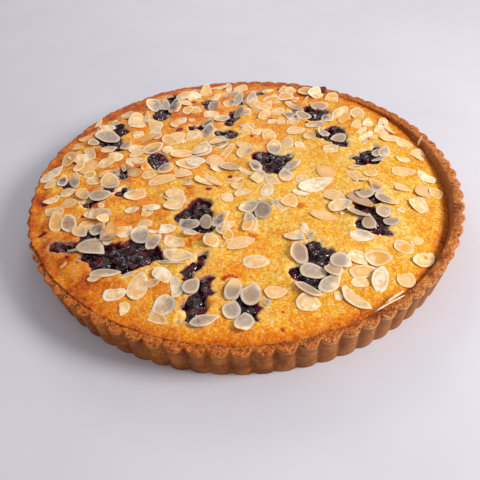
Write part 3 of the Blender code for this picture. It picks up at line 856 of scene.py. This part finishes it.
def crustMaterial():
    material, nodes, shader = newMaterial("bakedPastry", crust["finish"])
    onRim, raised, mark, burnt = nodes.masks()
    place = nodes.place()
    patches = nodes.noise(place, 90, detail=4, roughness=0.6)
    # streaks that run round the wall, from the tin
    streaks = nodes.noise(nodes.scaled(place, (0.25, 0.25, 1.6)), 420, detail=4, roughness=0.65)
    # painted light and shade: the wall and the rim are paler on the right, at the front, and darker on the
    # left, where less light falls
    sides = nodes.axes(place)
    right = nodes.span(nodes.minus(sides["X"], nodes.times(sides["Y"], 0.5)), 0.08, 0.14)
    shade = nodes.mix(right, crust["wallDark"], crust["wallShaded"])
    # painted highlight: the flutes' crests are paler on the lit right
    crest = nodes.times(nodes.span(mark, 0.35, 0.0), nodes.span(right, 0, 1, 0.0, 0.6))
    # painted shade: the flutes' valleys and the inside of the case are darker, most on the right
    paintedValleyShade = nodes.times(nodes.span(mark, 0.3, 1.0), nodes.span(right, 0, 1, 0.5, 0.85))
    # the rim, where spilt filling ends in a ragged line
    spilt = nodes.mix(nodes.span(patches, 0.62, 0.4), crust["spiltPale"], crust["spiltDark"])
    ragged = nodes.span(nodes.noise(place, 300, detail=3), 0.3, 0.7, -0.3, 0.3)
    top = nodes.layers(
        nodes.mix(right, crust["rim"], crust["rimPaintedLit"]),
        (nodes.span(raised, 0.5, 0.2, 0.0, 0.8), crust["rimDark"]),
        (nodes.span(nodes.plus(mark, ragged), 0.35, 0.65), spilt),
    )
    colour = nodes.layers(
        nodes.mix(right, crust["wall"], crust["wallPaintedLit"]),
        (nodes.span(patches, 0.62, 0.36), shade),
        (nodes.span(streaks, 0.55, 0.38, 0.0, 0.55), shade),
        (crest, crust["wallCrestHighlight"]),
        (paintedValleyShade, crust["wallDark"]),
        (onRim, top),
        (nodes.span(burnt, 0.3, 0.8, 0.0, 0.8), crust["burntColour"]),
    )
    # the wall took the tin's smoothness, the rim is torn
    torn = nodes.span(onRim, 0, 1, 0.4, 1.0)
    # more dark pits in the valleys and inside the case and fewer on the lit right, as part of the painted
    # shade and light
    pits = nodes.plus(nodes.span(right, 0, 1, 0.7, 0.3), nodes.times(mark, 0.35))
    grain = {
        **crust["grain"],
        "Colour": colour,
        "Light Specks": nodes.times(nodes.span(burnt, 0.2, 0.6, 0.5, 0.05), torn),
        "Dark Pits": nodes.times(pits, torn),
    }
    crumb = nodes.group(crumbGroup, grain)
    height = nodes.plus(nodes.times(crumb["Height"], torn), nodes.times(streaks, 1.2))
    surface = {"Base Color": crumb["Colour"], "Normal": nodes.bump(height, crust["grainDepth"])}
    nodes.feedAll(shader, surface)
    return material


makeCrust(crustMaterial())
print("the pastry case is baked")

# Flaked almonds: x, y, length and width in mm and turn in degrees, as they lie in the solids
placedFlakes = [
    (-88, -60, 19, 13, -35), (-79, -50, 20, 6, 88), (-60, -53, 13, 11, -60), (-52, -59, 12, 7, 50),
    (-77, -81, 17, 7, 5), (-58, -91, 19, 11, 80), (-70, -95, 12, 10, 0), (-43, -105, 14, 12, 100),
    (-48, -112, 18, 6, -30), (-65, -105, 9, 8, 30), (-45, -85, 13, 8, -40), (-38, -94, 14, 9, 100),
    (-29, -94, 12, 8, 60), (-22, -117, 15, 7, 15), (-37, -71, 18, 8, -5), (-40, -60, 14, 9, -30),
    (-32, -45, 13, 9, -5), (-22, -45, 12, 7, -70), (-13, -44, 16, 6, 55), (-11, -54, 11, 8, -30),
    (-2, -64, 17, 9, 20), (6, -79, 15, 10, -5), (2, -101, 16, 11, 95), (-7, -98, 15, 9, 80),
    (-2, -119, 12, 10, 80), (15, -101, 12, 9, 0), (31, -109, 13, 10, 0), (32, -101, 17, 7, -40),
    (56, -107, 18, 10, -45), (44, -97, 15, 9, 45), (36, -88, 15, 10, -15), (47, -88, 12, 9, -60),
    (52, -83, 12, 11, -50), (30, -74, 17, 10, 85), (29, -60, 13, 10, -50), (62, -79, 12, 10, -40),
    (73, -79, 15, 12, 10), (63, -89, 16, 8, 10), (71, -94, 17, 9, 70), (85, -93, 13, 10, 80),
    (89, -71, 12, 9, -30), (99, -79, 16, 9, 35), (67, -63, 14, 8, -5), (72, -32, 18, 11, -45),
    (88, -31, 16, 8, -35), (84, -42, 10, 8, 30), (87, -50, 10, 8, 0), (73, -52, 12, 8, 80),
    (68, -44, 14, 5, -35), (83, -18, 14, 12, 0), (107, -31, 20, 11, 98), (116, -19, 17, 10, 35),
    (99, -18, 14, 7, -25), (106, -1, 16, 10, 0), (121, -3, 14, 11, 120), (57, -27, 17, 9, -40),
    (59, -36, 15, 10, 20), (48, -44, 15, 8, -15), (47, -14, 22, 12, 15), (55, -1, 14, 11, 120),
    (12, -37, 17, 10, 100), (4, -47, 15, 9, 90), (4, -33, 13, 9, 30), (24, -32, 15, 12, 40),
    (10, 9, 14, 8, 100), (24, 29, 16, 10, 90), (34, 6, 16, 6, 35), (33, 35, 15, 9, 100),
    (64, 24, 15, 8, -5), (70, 38, 16, 9, 50), (94, 20, 14, 6, 50), (107, 40, 17, 9, 10),
    (122, 22, 15, 11, 60), (44, 85, 20, 8, -60), (39, 112, 20, 12, 95), (-95, 57, 20, 14, -40),
    (-76, 76, 22, 13, 100), (-48, 94, 19, 10, 85), (-65, 98, 18, 11, -80), (-25, 117, 24, 10, 85),
    (-109, 5, 17, 9, -75), (-90, -13, 15, 9, 10), (-49, 12, 15, 10, 50), (-60, 37, 16, 12, 50),
    (-128, 16, 20, 9, 50), (40, -7, 11, 7, 10), (16, -17, 14, 8, 75), (76, -8, 14, 6, -60),
    (110, 15, 10, 8, 0), (116, 34, 13, 9, -20), (41, 50, 14, 9, 0), (56, 57, 14, 9, 10),
    (77, 71, 19, 12, 60), (90, 74, 17, 10, 70), (95, 58, 16, 8, 75), (107, 61, 16, 8, 70),
    (-23, -3, 16, 9, -35), (-66, -14, 17, 9, 15), (-106, -36, 18, 9, 105),
]

# and those that overlap them or lie between them
furtherFlakes = [
    (-111, -17, 15, 9, -10), (-119, -25, 12, 7, -25), (-114, -35, 18, 8, 105), (-94, -41, 10, 8, 0),
    (-87, -43, 14, 9, 100), (-84, -37, 9, 6, 75), (-71, -46, 15, 10, 95), (-59, -42, 10, 7, 0),
    (-46, -48, 13, 8, 0), (-68, -29, 9, 6, 0), (-55, -28, 10, 6, 10), (-42, -15, 12, 11, 0),
    (-82, -85, 8, 3, 0), (-64, -83, 9, 3, 30), (-50, -90, 8, 5, 20), (3, -49, 13, 6, 70),
    (47, -105, 5, 5, 0), (84, -4, 9, 8, 0), (95, -40, 9, 4, 40), (99, -65, 6, 5, 0), (38, -61, 7, 3, 60),
    (20, -8, 11, 7, -35), (76, -25, 13, 9, 20), (60, -96, 10, 7, 0), (-123, 6, 16, 8, 40),
    (-96, 4, 12, 10, 0), (-103, 20, 16, 12, 75), (-91, 24, 14, 9, 40), (-87, 9, 14, 9, 0),
    (-118, 30, 12, 12, 0), (-105, 37, 16, 7, -60), (-117, 47, 13, 9, -25), (-97, 69, 12, 8, 0),
    (-92, 40, 12, 7, 20), (-80, 43, 10, 8, 60), (-83, 87, 14, 8, 30), (-66, 52, 17, 9, 25),
    (-56, 94, 17, 8, 90), (-42, 109, 17, 9, 60), (-36, 87, 13, 10, 0), (-18, 93, 17, 9, 80),
    (1, 101, 17, 8, 70), (-12, 72, 12, 9, 0), (-33, 51, 10, 9, 0), (-40, 29, 17, 9, 10),
    (-28, 32, 12, 10, 0), (-9, 29, 17, 9, 60), (-30, 18, 13, 12, 0), (-17, 18, 12, 11, 0),
    (-6, 10, 16, 9, -20), (-38, 5, 12, 9, 0), (-61, 6, 9, 8, 0), (-51, 0, 19, 8, 15), (-14, 40, 14, 6, 10),
    (-71, 32, 12, 6, 20), (-71, 23, 15, 8, -20), (5, 54, 12, 11, 0), (16, 53, 14, 11, 0),
    (12, 101, 16, 8, 80), (45, 116, 15, 9, 40), (28, 98, 14, 9, 0), (55, 112, 17, 11, 80),
    (62, 105, 18, 10, 65), (75, 100, 17, 10, 70), (63, 85, 14, 10, 10), (49, 71, 12, 9, 0),
    (66, 65, 9, 8, 0), (86, 56, 15, 8, 70), (50, 42, 9, 9, 0), (61, 47, 10, 8, 60), (43, 31, 10, 10, 0),
    (38, 71, 12, 9, 0), (42, 61, 13, 8, 0), (-111, 59, 14, 6, 40), (-18, 106, 14, 9, 50),
    (-3, 110, 14, 9, 20), (22, 88, 14, 9, 50), (6, 81, 13, 9, 100), (30, 79, 13, 8, 20),
    (-44, 70, 14, 9, 40), (-61, 62, 13, 8, 80), (-20, 80, 12, 8, 10), (-49, 46, 13, 8, -30),
    (-22, 66, 12, 8, 60), (-22, 55, 18, 8, 77), (-50, 35, 9, 8, 92), (-18, -4, 18, 5, -50),
    (-4, -4, 10, 4, 6), (-3, -10, 8, 7, 101), (3, 3, 11, 4, -48), (4, 24, 13, 11, -46),
    (1, -19, 12, 11, 95), (-9, -22, 9, 8, 70), (-41, -25, 16, 12, 55), (-35, -4, 7, 6, 74),
    (-35, 122, 12, 8, -24), (-40, 98, 10, 8, -26), (-14, 125, 14, 5, 2), (-6, 96, 10, 9, 14),
    (1, 80, 9, 8, 73), (13, 86, 21, 3, -56), (38, 101, 12, 12, 103), (53, 94, 16, 3, 69),
    (79, 66, 16, 8, 61), (26, 64, 9, 5, -15), (25, 113, 10, 4, 18), (-85, 85, 9, 9, 32),
    (-69, 80, 12, 5, 84), (-106, 76, 14, 4, 71), (-105, 50, 9, 8, 120), (-110, 22, 12, 6, 69),
    (-101, 12, 8, 8, 36), (-118, 6, 11, 6, 84), (-74, 18, 12, 3, -49), (-71, 9, 11, 8, 118),
    (-85, 0, 15, 11, -44), (-91, 75, 8, 6, 14), (-112, -7, 10, 8, 16), (-101, -12, 11, 8, -49),
    (-97, -46, 10, 8, -36), (-93, -30, 8, 2.5, 82), (-88, -23, 5, 4, 109), (-97, -63, 7, 6, -28),
    (-19, -61, 12, 9, 109), (-12, -64, 7, 2.5, 61), (-31, -54, 8, 8, -5), (-41, -76, 15, 2.5, -8),
    (-8, -47, 10, 6, 62), (-9, -58, 8, 6, 93), (11, -4, 15, 8, 55), (29, -4, 12, 9, 99),
    (37, -22, 12, 5, -29), (29, -30, 12, 10, 74), (35, -55, 9, 5, 86), (103, 49, 11, 11, -60),
    (109, 52, 14, 6, 101), (90, 41, 16, 6, 44), (88, 48, 14, 4, 48), (95, 40, 9, 5, 30),
    (98, 20, 14, 7, 57), (93, 12, 12, 3, 20), (71, -7, 13, 5, 115), (75, 2, 10, 2.5, 5),
    (123, -20, 10, 8, 32), (-8, -111, 11, 10, 70), (10, -107, 5, 4, 95), (-79, -51, 23, 10, 90),
]

flakes = {
    "scattered": 31,
    "seed": 24,
    "lengths": (11, 19),
    "widthShares": (0.52, 0.8),
    "crowdedSide": 125,
    "closeSpacing": 10,  # mm between their middles at the crowded edge
    "wideSpacing": 15,  # and at the tart's middle
    "edgeMargin": 9,
    "poolMargin": 1,  # from berries
    "tries": 6000,
    "thickness": (0.35, 0.6),
    "corners": 28,
    "sharp": 50,  # degrees from which an edge is drawn sharp
    "taper": 0.2,
    "pointed": (0, 0.08, 0.2, 0.35),  # one of these for each flake
    "broken": 0.24,  # the share with a broken end
    "chipped": 0.12,  # and of the others, with a broken side
    "rings": (0, 0.07, 0.35, 1.0, 2.4),  # mm in from the rim
    "rimDrop": (0.16, 0.0, 0.0, 0.03, 0.06),  # share of the thickness lost at each ring
    "middleInward": 3.5,  # and both for its middle
    "middleDrop": 0.1,
    "typicalLength": 16,
    "typicalWidth": 10,
    "curl": 1.1,  # mm that the ends of a typical flake rise
    "cup": 0.7,  # mm that its sides rise
    "bends": (-0.7, 1.0),  # the share of both, least and most
    "twist": 0.4,
    "sink": 0.36,
    "resting": 0.97,  # the share of a flake that lies over what it rests on
    "steepest": 0.5,
    "lean": 0.28,  # flakes at the back lean against each other, towards the front
    "leanFrom": (0, 90),  # mm behind the middle: none of it, and all of it
    "tilts": (0.05, 0.08),  # how unevenly flakes lie, lengthwise and crosswise
    "sheer": (0, 0.1, 0.25, 0.45, 0.7),  # one of these for each flake
    "sheerer": 0.45,  # at most this much more at the back and on the side baked more
    "sheererFrom": (20, 110),
    "toast": (0.4, 0.28),  # how toasted: mean and spread
    "juiceReach": (8.6, 5.2),  # mm from the berries that juice soaks them: least baked, most baked
    "juiceFade": 6.4,
    "juiceUneven": (2.2, 7),  # mm, and the size of its patches
    "juiceTaken": (0.7, 1.3),
    "mapStep": 0.7,
    "mapReach": 142,
    "crumbs": 60,  # small broken bits
    "crumbSizes": (2.2, 5.5),
    "crumbWidths": (0.3, 0.8),
    "finish": {
        "Roughness": 0.45,
        "Specular IOR Level": 0.35,
        "Subsurface Weight": 0.1,
        "Subsurface Radius": (0.0015, 0.001, 0.0006),
        "Subsurface Scale": 0.5,
    },
    "grainDepth": 0.35,
    "white": linear(252, 234, 206),
    "cream": linear(242, 206, 150),
    "paleEdge": linear(254, 239, 210),
    "brownEdge": linear(206, 132, 64),
    "line": linear(214, 158, 96),
    "toasted": linear(238, 187, 126),
    "spongeBelow": linear(230, 164, 66),
    "soaked": linear(146, 131, 120),
    "stained": linear(110, 84, 90),
}

slivers = {
    "places": (  # start, end and width
        ((69.9, -111.3, 22.6), (80.4, -104.7, 23.8), 1.5),
        ((63.3, -116.2, 22.4), (80.0, -108.1, 24.2), 1.1),
        ((125.1, 33.3, 17.5), (127.5, 34.9, 24.5), 1.8),
    ),
    "halfThickness": 0.4,
    "arch": 1.2,  # in half thicknesses
    "taper": 0.75,
    "steps": 8,  # along a sliver
    "sides": 8,
    "masks": (0.3, 0.05, 0.12, 0.2),  # as a flake's
}


def scatteredFlakes():
    # the same rule and seed as in the solids: only on the crowded half, closer together at its edge
    draw = random.Random(flakes["seed"])
    side = math.radians(flakes["crowdedSide"])
    taken = [(x, y) for x, y, *_ in placedFlakes]
    found = []
    for _ in range(flakes["tries"]):
        radius = (surfaceRadius - flakes["edgeMargin"]) * math.sqrt(draw.random())
        angle = side + draw.uniform(-math.pi, math.pi) / 2
        length = draw.uniform(*flakes["lengths"])
        width = length * draw.uniform(*flakes["widthShares"])
        turn = draw.uniform(0, math.pi)
        x, y = radius * math.cos(angle), radius * math.sin(angle)
        crowding = radius / surfaceRadius * math.cos(angle - side)
        spacing = flakes["wideSpacing"] + (flakes["closeSpacing"] - flakes["wideSpacing"]) * crowding
        if any(math.hypot(x - a, y - b) < spacing for a, b in taken):
            continue
        clear = length / 2 + flakes["poolMargin"]
        if any(math.hypot(x - a, y - b) < r + clear for a, b, r in allLobes):
            continue
        taken.append((x, y))
        found.append((x, y, length, width, math.degrees(turn)))
        if len(found) == flakes["scattered"]:
            break
    return found


def almondCrumbs():
    # small broken bits, most of them where the flakes crowd
    draw = random.Random(71)
    side = math.radians(flakes["crowdedSide"])
    found = []
    while len(found) < flakes["crumbs"]:
        radius = (surfaceRadius - 4) * math.sqrt(draw.random())
        angle = draw.uniform(0, math.tau)
        if draw.random() > 0.35 + 0.65 * (0.5 + 0.5 * math.cos(angle - side)):
            continue
        x, y = radius * math.cos(angle), radius * math.sin(angle)
        size = draw.uniform(*flakes["crumbSizes"])
        width = size * draw.uniform(*flakes["crumbWidths"])
        found.append((x, y, size, width, draw.uniform(0, 360)))
    return found


class HeightMap:
    # the height of what lies under the next flake, on a square grid
    def __init__(self, step, reach):
        self.step = step
        self.reach = reach
        line = np.linspace(-reach, reach, int(2 * reach / step) + 1)
        self.x, self.y = np.meshgrid(line, line, indexing="ij")
        x, y = self.x.ravel(), self.y.ravel()
        height = spongeTop(x, y)[0]
        radius = np.hypot(x, y) / widening(np.arctan2(y, x))
        onRim = (radius > surfaceRadius) & (radius < tart["rimRadius"] - 1)
        height = np.where(onRim, np.maximum(height, tart["rimHeight"]), height)
        self.height = height.reshape(self.x.shape)
        for tops in berryTops:
            np.maximum.at(self.height, self.cell(tops[:, 0], tops[:, 1]), tops[:, 2])

    def cell(self, x, y):
        cells = [np.round((value + self.reach) / self.step).astype(int) for value in (x, y)]
        return tuple(np.clip(cells, 0, len(self.x) - 1))

    def at(self, x, y):
        return self.height[self.cell(x, y)]

    def cover(self, x, y, turn, length, width, heightAt):
        # a flake becomes part of what later flakes lie on
        reach = length / 2 + 1
        near = (np.abs(self.x - x) < reach) & (np.abs(self.y - y) < reach)
        dx, dy = self.x[near] - x, self.y[near] - y
        u = dx * math.cos(turn) + dy * math.sin(turn)
        v = -dx * math.sin(turn) + dy * math.cos(turn)
        covered = (2 * u / length) ** 2 + (2 * v / width) ** 2 < 1
        higher = np.maximum(self.height[near], heightAt(u, v))
        self.height[near] = np.where(covered, higher, self.height[near])


def flakeOutline(length, width, draw):
    # an egg-shaped slice with more or less of a point, sometimes broken along an uneven line
    around = np.linspace(0, math.tau, flakes["corners"], endpoint=False)
    uneven = np.ones_like(around)
    for waves in (2, 3, 4, 6):
        uneven += draw.uniform(0, 0.09) / waves**0.6 * np.cos(waves * around + draw.uniform(0, 6))
    point = draw.choice(flakes["pointed"])
    tip = np.maximum(np.cos(around), 0)
    along = length / 2 * np.cos(around) * uneven * (1 + 0.06 * point * tip**4)
    across = width / 2 * np.sin(around) * uneven
    across *= (1 - flakes["taper"] * np.cos(around)) * (1 - point * tip**3)
    if draw.random() < flakes["broken"]:
        cut = length * draw.uniform(0.12, 0.36) * draw.choice((1, -1))
        edge = cut + draw.uniform(-0.5, 0.5) * across + 0.2 * np.sin(across * 1.9 + draw.uniform(0, 6))
        along = np.minimum(along, edge) if cut > 0 else np.maximum(along, edge)
    elif draw.random() < flakes["chipped"]:
        cut = width * draw.uniform(0.12, 0.34)
        across = np.minimum(across, cut + 0.15 * np.sin(along * 1.3 + draw.uniform(0, 6)))
    return along, across


def flakeFaces(corners, rings):
    # a flake's points run ring by ring to its middle, on its top and then the same underneath
    index = np.arange(rings * corners).reshape(rings, corners)
    count = index.size + 1
    top = ringQuads(index) + fan(index[-1], index.size)
    under = [[count + corner for corner in reversed(face)] for face in top]
    return top + under + ringQuads(np.stack([index[0] + count, index[0]]))


def ringValues(corners, values, middle):
    # one value for each ring of a flake and one for its middle, as a value for each point
    return np.append(np.repeat(values, corners), middle)


def layFlake(ground, flake, draw):
    # one curled flake, laid on what is under it: its points and masks
    x, y, length, width, degrees = flake
    turn = math.radians(degrees)
    thick = draw.uniform(*flakes["thickness"])
    curl = flakes["curl"] * draw.uniform(*flakes["bends"]) * length / flakes["typicalLength"]
    cup = flakes["cup"] * draw.uniform(*flakes["bends"]) * width / flakes["typicalWidth"]
    twist = draw.uniform(-flakes["twist"], flakes["twist"])
    along, across = flakeOutline(length, width, draw)
    corners = len(along)
    shares = [max(1 - 2 * inward / min(length, width), 0.1) for inward in flakes["rings"]]
    shares = [min(share, 1 - 0.16 * step) for step, share in enumerate(shares)]
    ringU = np.append(np.outer(shares, along), 0)
    ringV = np.append(np.outer(shares, across), 0)
    inward = ringValues(corners, flakes["rings"], flakes["middleInward"])
    drop = ringValues(corners, flakes["rimDrop"], flakes["middleDrop"]) * thick
    lengthwise, crosswise = 2 * ringU / length, 2 * ringV / width
    bend = curl * lengthwise**2 + cup * crosswise**2 + twist * lengthwise * crosswise
    worldX = x + ringU * math.cos(turn) - ringV * math.sin(turn)
    worldY = y + ringU * math.sin(turn) + ringV * math.cos(turn)
    plan = np.column_stack([worldX, worldY])
    count = len(plan)
    under = ground.at(worldX, worldY)

    # it tilts with what is under it, and leans towards the front
    system = np.column_stack([np.ones(count), ringU, ringV])
    _, slopeU, slopeV = np.linalg.lstsq(system, under - bend, rcond=None)[0]
    slopeU += draw.gauss(0, flakes["tilts"][0])
    slopeV += draw.gauss(0, flakes["tilts"][1])
    lean = flakes["lean"] * float(ramp(y, *flakes["leanFrom"])) * draw.random()
    slopeU += lean * math.sin(turn)
    slopeV += lean * math.cos(turn)
    slopeU, slopeV = np.clip([slopeU, slopeV], -flakes["steepest"], flakes["steepest"])
    low = bend + slopeU * ringU + slopeV * ringV
    away = poolDistance(plan, allLobes, softness=2.0)
    sink = flakes["sink"] * float(ramp(away.min(), -1, 2))  # none on the berries
    level = np.sort(under - low)[int(count * (flakes["resting"] - lean))] - sink
    low += level
    heights = np.concatenate([low + thick - drop, low + drop])
    points = np.column_stack([np.tile(plan, (2, 1)), heights])

    def topAt(u, v):
        bent = curl * (2 * u / length) ** 2 + cup * (2 * v / width) ** 2
        return level + slopeU * u + slopeV * v + bent + thick

    ground.cover(x, y, turn, length, width, topAt)
    return points, flakeMasks(x, y, plan, inward, away, draw)


def flakeMasks(x, y, plan, inward, away, draw):
    # how far in from the rim, how sheer, how soaked with juice, how toasted
    baked = float(bakedSide(x, y))
    reach = np.interp(baked, (0, 1), flakes["juiceReach"])
    uneven, size = flakes["juiceUneven"]
    soaked = ramp(reach - away - uneven * lumps(plan, size, seed=50), 0, flakes["juiceFade"])
    soaked = np.maximum(soaked, draw.choice((0, 0, 0, 0, 0, 0, 0.3)))
    sheer = draw.choice(flakes["sheer"])
    toast = np.clip(draw.gauss(*flakes["toast"]), 0, 1)
    soaked = np.minimum(soaked * draw.uniform(*flakes["juiceTaken"]), 1)
    sheer += flakes["sheerer"] * max(baked, float(ramp(y, *flakes["sheererFrom"]))) * draw.random()
    masks = np.column_stack([inward / 4, np.full(len(plan), sheer), soaked, np.full(len(plan), toast)])
    return np.tile(masks, (2, 1))


def makeFlakes(material, whole):
    ground = HeightMap(flakes["mapStep"], flakes["mapReach"])
    everyFlake = almondCrumbs() + whole
    laid = [layFlake(ground, flake, random.Random(500 + i)) for i, flake in enumerate(everyFlake)]
    points, masks = map(np.vstack, zip(*laid))
    perFlake = len(laid[0][0])
    oneFlake = flakeFaces(flakes["corners"], len(flakes["rings"]))
    faces = []
    for start in range(0, len(points), perFlake):
        faces += [[start + corner for corner in face] for face in oneFlake]
    slot, node = "almond_sponge", "almond_sponge"
    makePiece("flakedAlmonds", points, faces, material, node, masks, flakes["sharp"])


def makeSlivers(material):
    # thin sticks that lean on the rim
    points, faces = [], []
    steps, sides = slivers["steps"], slivers["sides"]
    rings = np.arange((steps + 1) * sides).reshape(steps + 1, sides)
    for start, end, width in slivers["places"]:
        start, end = np.array(start), np.array(end)
        along = end - start
        across = np.cross(along, [0, 0, 1])
        across *= width / 2 / np.linalg.norm(across)
        up = np.cross(across, along)
        up *= slivers["halfThickness"] / np.linalg.norm(up)
        ends = [(rings[0][::-1] + len(points)).tolist(), (rings[-1] + len(points)).tolist()]
        faces += ringQuads(rings + len(points)) + ends
        for step in range(steps + 1):
            share = step / steps
            taper = 1 - slivers["taper"] * abs(2 * share - 1) ** 3
            middle = start + along * share + up * slivers["arch"] * math.sin(share * math.pi)
            for turn in range(sides):
                angle = math.tau * turn / sides
                points.append(middle + (across * math.cos(angle) + up * math.sin(angle)) * taper)
    masks = np.tile(slivers["masks"], (len(points), 1))
    makePiece("almondSlivers", points, faces, material, "almond_sponge", masks)


def flakeMaterial():
    material, nodes, shader = newMaterial("flakedAlmonds", flakes["finish"])
    inward, sheer, soaked, toast = nodes.masks()
    place = nodes.place()
    mottle = nodes.noise(place, 330, detail=3)
    blotches = nodes.noise(place, 110, detail=1)
    fine = nodes.noise(place, 900)
    toasting = nodes.plus(toast, nodes.span(mottle, 0.35, 0.65, -0.35, 0.35), clamp=True)
    # what shows through, as a flake is thin at one end and hides more at the other
    below = nodes.mix(nodes.span(mottle, 0.42, 0.6), flakes["stained"], flakes["soaked"])
    below = nodes.mix(nodes.span(soaked, 0.05, 0.5), flakes["spongeBelow"], below)
    thin = nodes.times(sheer, nodes.span(blotches, 0.35, 0.6, 0.3, 1.6))
    showing = nodes.most(thin, nodes.times(soaked, 0.85))
    showing = nodes.times(showing, nodes.span(mottle, 0.3, 0.6, 0.7, 1.0))
    # sheer flakes show a clear pale rim, the others hardly any
    inside = nodes.minus(inward, nodes.span(soaked, 0.0, 0.6, 0.0, 0.015))
    rimmed = nodes.most(nodes.span(soaked, 0.0, 0.4, 0.12, 0.45), nodes.times(sheer, 0.6))
    rimShare = nodes.times(nodes.minus(1.0, nodes.span(inside, 0.01, 0.07)), rimmed)
    edge = nodes.mix(nodes.times(soaked, 0.2), flakes["paleEdge"], flakes["soaked"])
    edge = nodes.mix(nodes.span(toast, 0.72, 0.9), edge, flakes["brownEdge"])
    line = nodes.times(nodes.span(inward, 0.02, 0.08), nodes.span(inward, 0.32, 0.1))
    line = nodes.times(line, nodes.span(mottle, 0.35, 0.6, 0.0, 0.45))
    colour = nodes.layers(
        flakes["cream"],
        (nodes.span(toasting, 0.3, 0.0), flakes["white"]),
        (nodes.span(toasting, 0.3, 1.0), flakes["toasted"]),
        (showing, below),
        (rimShare, edge),
        (line, flakes["line"]),
    )
    height = nodes.plus(mottle, nodes.times(fine, 0.3))
    surface = {"Base Color": colour, "Normal": nodes.bump(height, flakes["grainDepth"])}
    nodes.feedAll(shader, surface)
    return material


flakeFinish = flakeMaterial()
wholeFlakes = placedFlakes + scatteredFlakes() + furtherFlakes
makeFlakes(flakeFinish, wholeFlakes)
makeSlivers(flakeFinish)
print(len(wholeFlakes), "flaked almonds are scattered")

# Floor, light and camera

studio = {
    "floorSize": 6,  # m
    "finish": {"Roughness": 0.75},
    "floor": linear(214, 210, 216),
    "floorShade": linear(204, 200, 206),
    "aim": (0, 0, 20),  # what the lamps face, in mm
    "lamps": {  # place in mm, size in m and power in W
        "windowLight": ((800, -250, 560), 0.4, 9.5),
        "backLight": ((-60, 700, 520), 0.28, 1.3),
    },
    "sky": linear(228, 229, 235),
    "skyStrength": 0.58,
}

camera = {
    "elevation": 39.45,  # degrees, seen from the tart
    "distance": 375,  # mm
    "aside": 1.5,
    "aim": (-2.88, -34.26, 0),
    "roll": -3.955,
    "lens": 41.05,
    "sensor": 36,
    "nearest": 0.01,  # m
}


def makeFloor():
    bpy.ops.mesh.primitive_plane_add(size=studio["floorSize"])
    floor = bpy.context.object
    floor.name = "floor"
    material, nodes, shader = newMaterial("paleFloor", studio["finish"])
    cloudy = nodes.span(nodes.noise(nodes.place(), 14, detail=5), 0.3, 0.7, 0.0, 0.5)
    colour = nodes.mix(cloudy, studio["floor"], studio["floorShade"])
    nodes.feed(shader["Base Color"], colour)
    floor.data.materials.append(material)


def facing(place, aim):
    # the turn of a lamp or a camera
    return (Vector(aim) - Vector(place)).to_track_quat("-Z", "Y")


def addSoftbox(name, place, size, power):
    light = bpy.data.lights.new(name, "AREA")
    light.shape = "DISK"
    light.size = size
    light.energy = power
    lamp = bpy.data.objects.new(name, light)
    lamp.location = Vector(place) * mm
    lamp.rotation_euler = facing(place, studio["aim"]).to_euler()
    bpy.context.scene.collection.objects.link(lamp)


def lightRoom():
    world = bpy.data.worlds.new("softRoom")
    bpy.context.scene.world = world
    world.use_nodes = True
    background = world.node_tree.nodes["Background"].inputs
    background["Color"].default_value = studio["sky"]
    background["Strength"].default_value = studio["skyStrength"]
    bpy.context.scene.view_settings.view_transform = "Standard"


def placeCamera():
    made = bpy.data.cameras.new("camera")
    made.lens = camera["lens"]
    made.sensor_width = camera["sensor"]
    made.clip_start = camera["nearest"]
    holder = bpy.data.objects.new("camera", made)
    bpy.context.scene.collection.objects.link(holder)
    lift, distance = math.radians(camera["elevation"]), camera["distance"]
    place = Vector((camera["aside"], -distance * math.cos(lift), distance * math.sin(lift)))
    roll = Matrix.Rotation(math.radians(camera["roll"]), 4, "Z")
    look = facing(place, camera["aim"]).to_matrix().to_4x4()
    holder.matrix_world = Matrix.Translation(place * mm) @ look @ roll
    bpy.context.scene.camera = holder


makeFloor()
lightRoom()
for lampName, lamp in studio["lamps"].items():
    addSoftbox(lampName, *lamp)
placeCamera()
print("the camera and the lights are set")
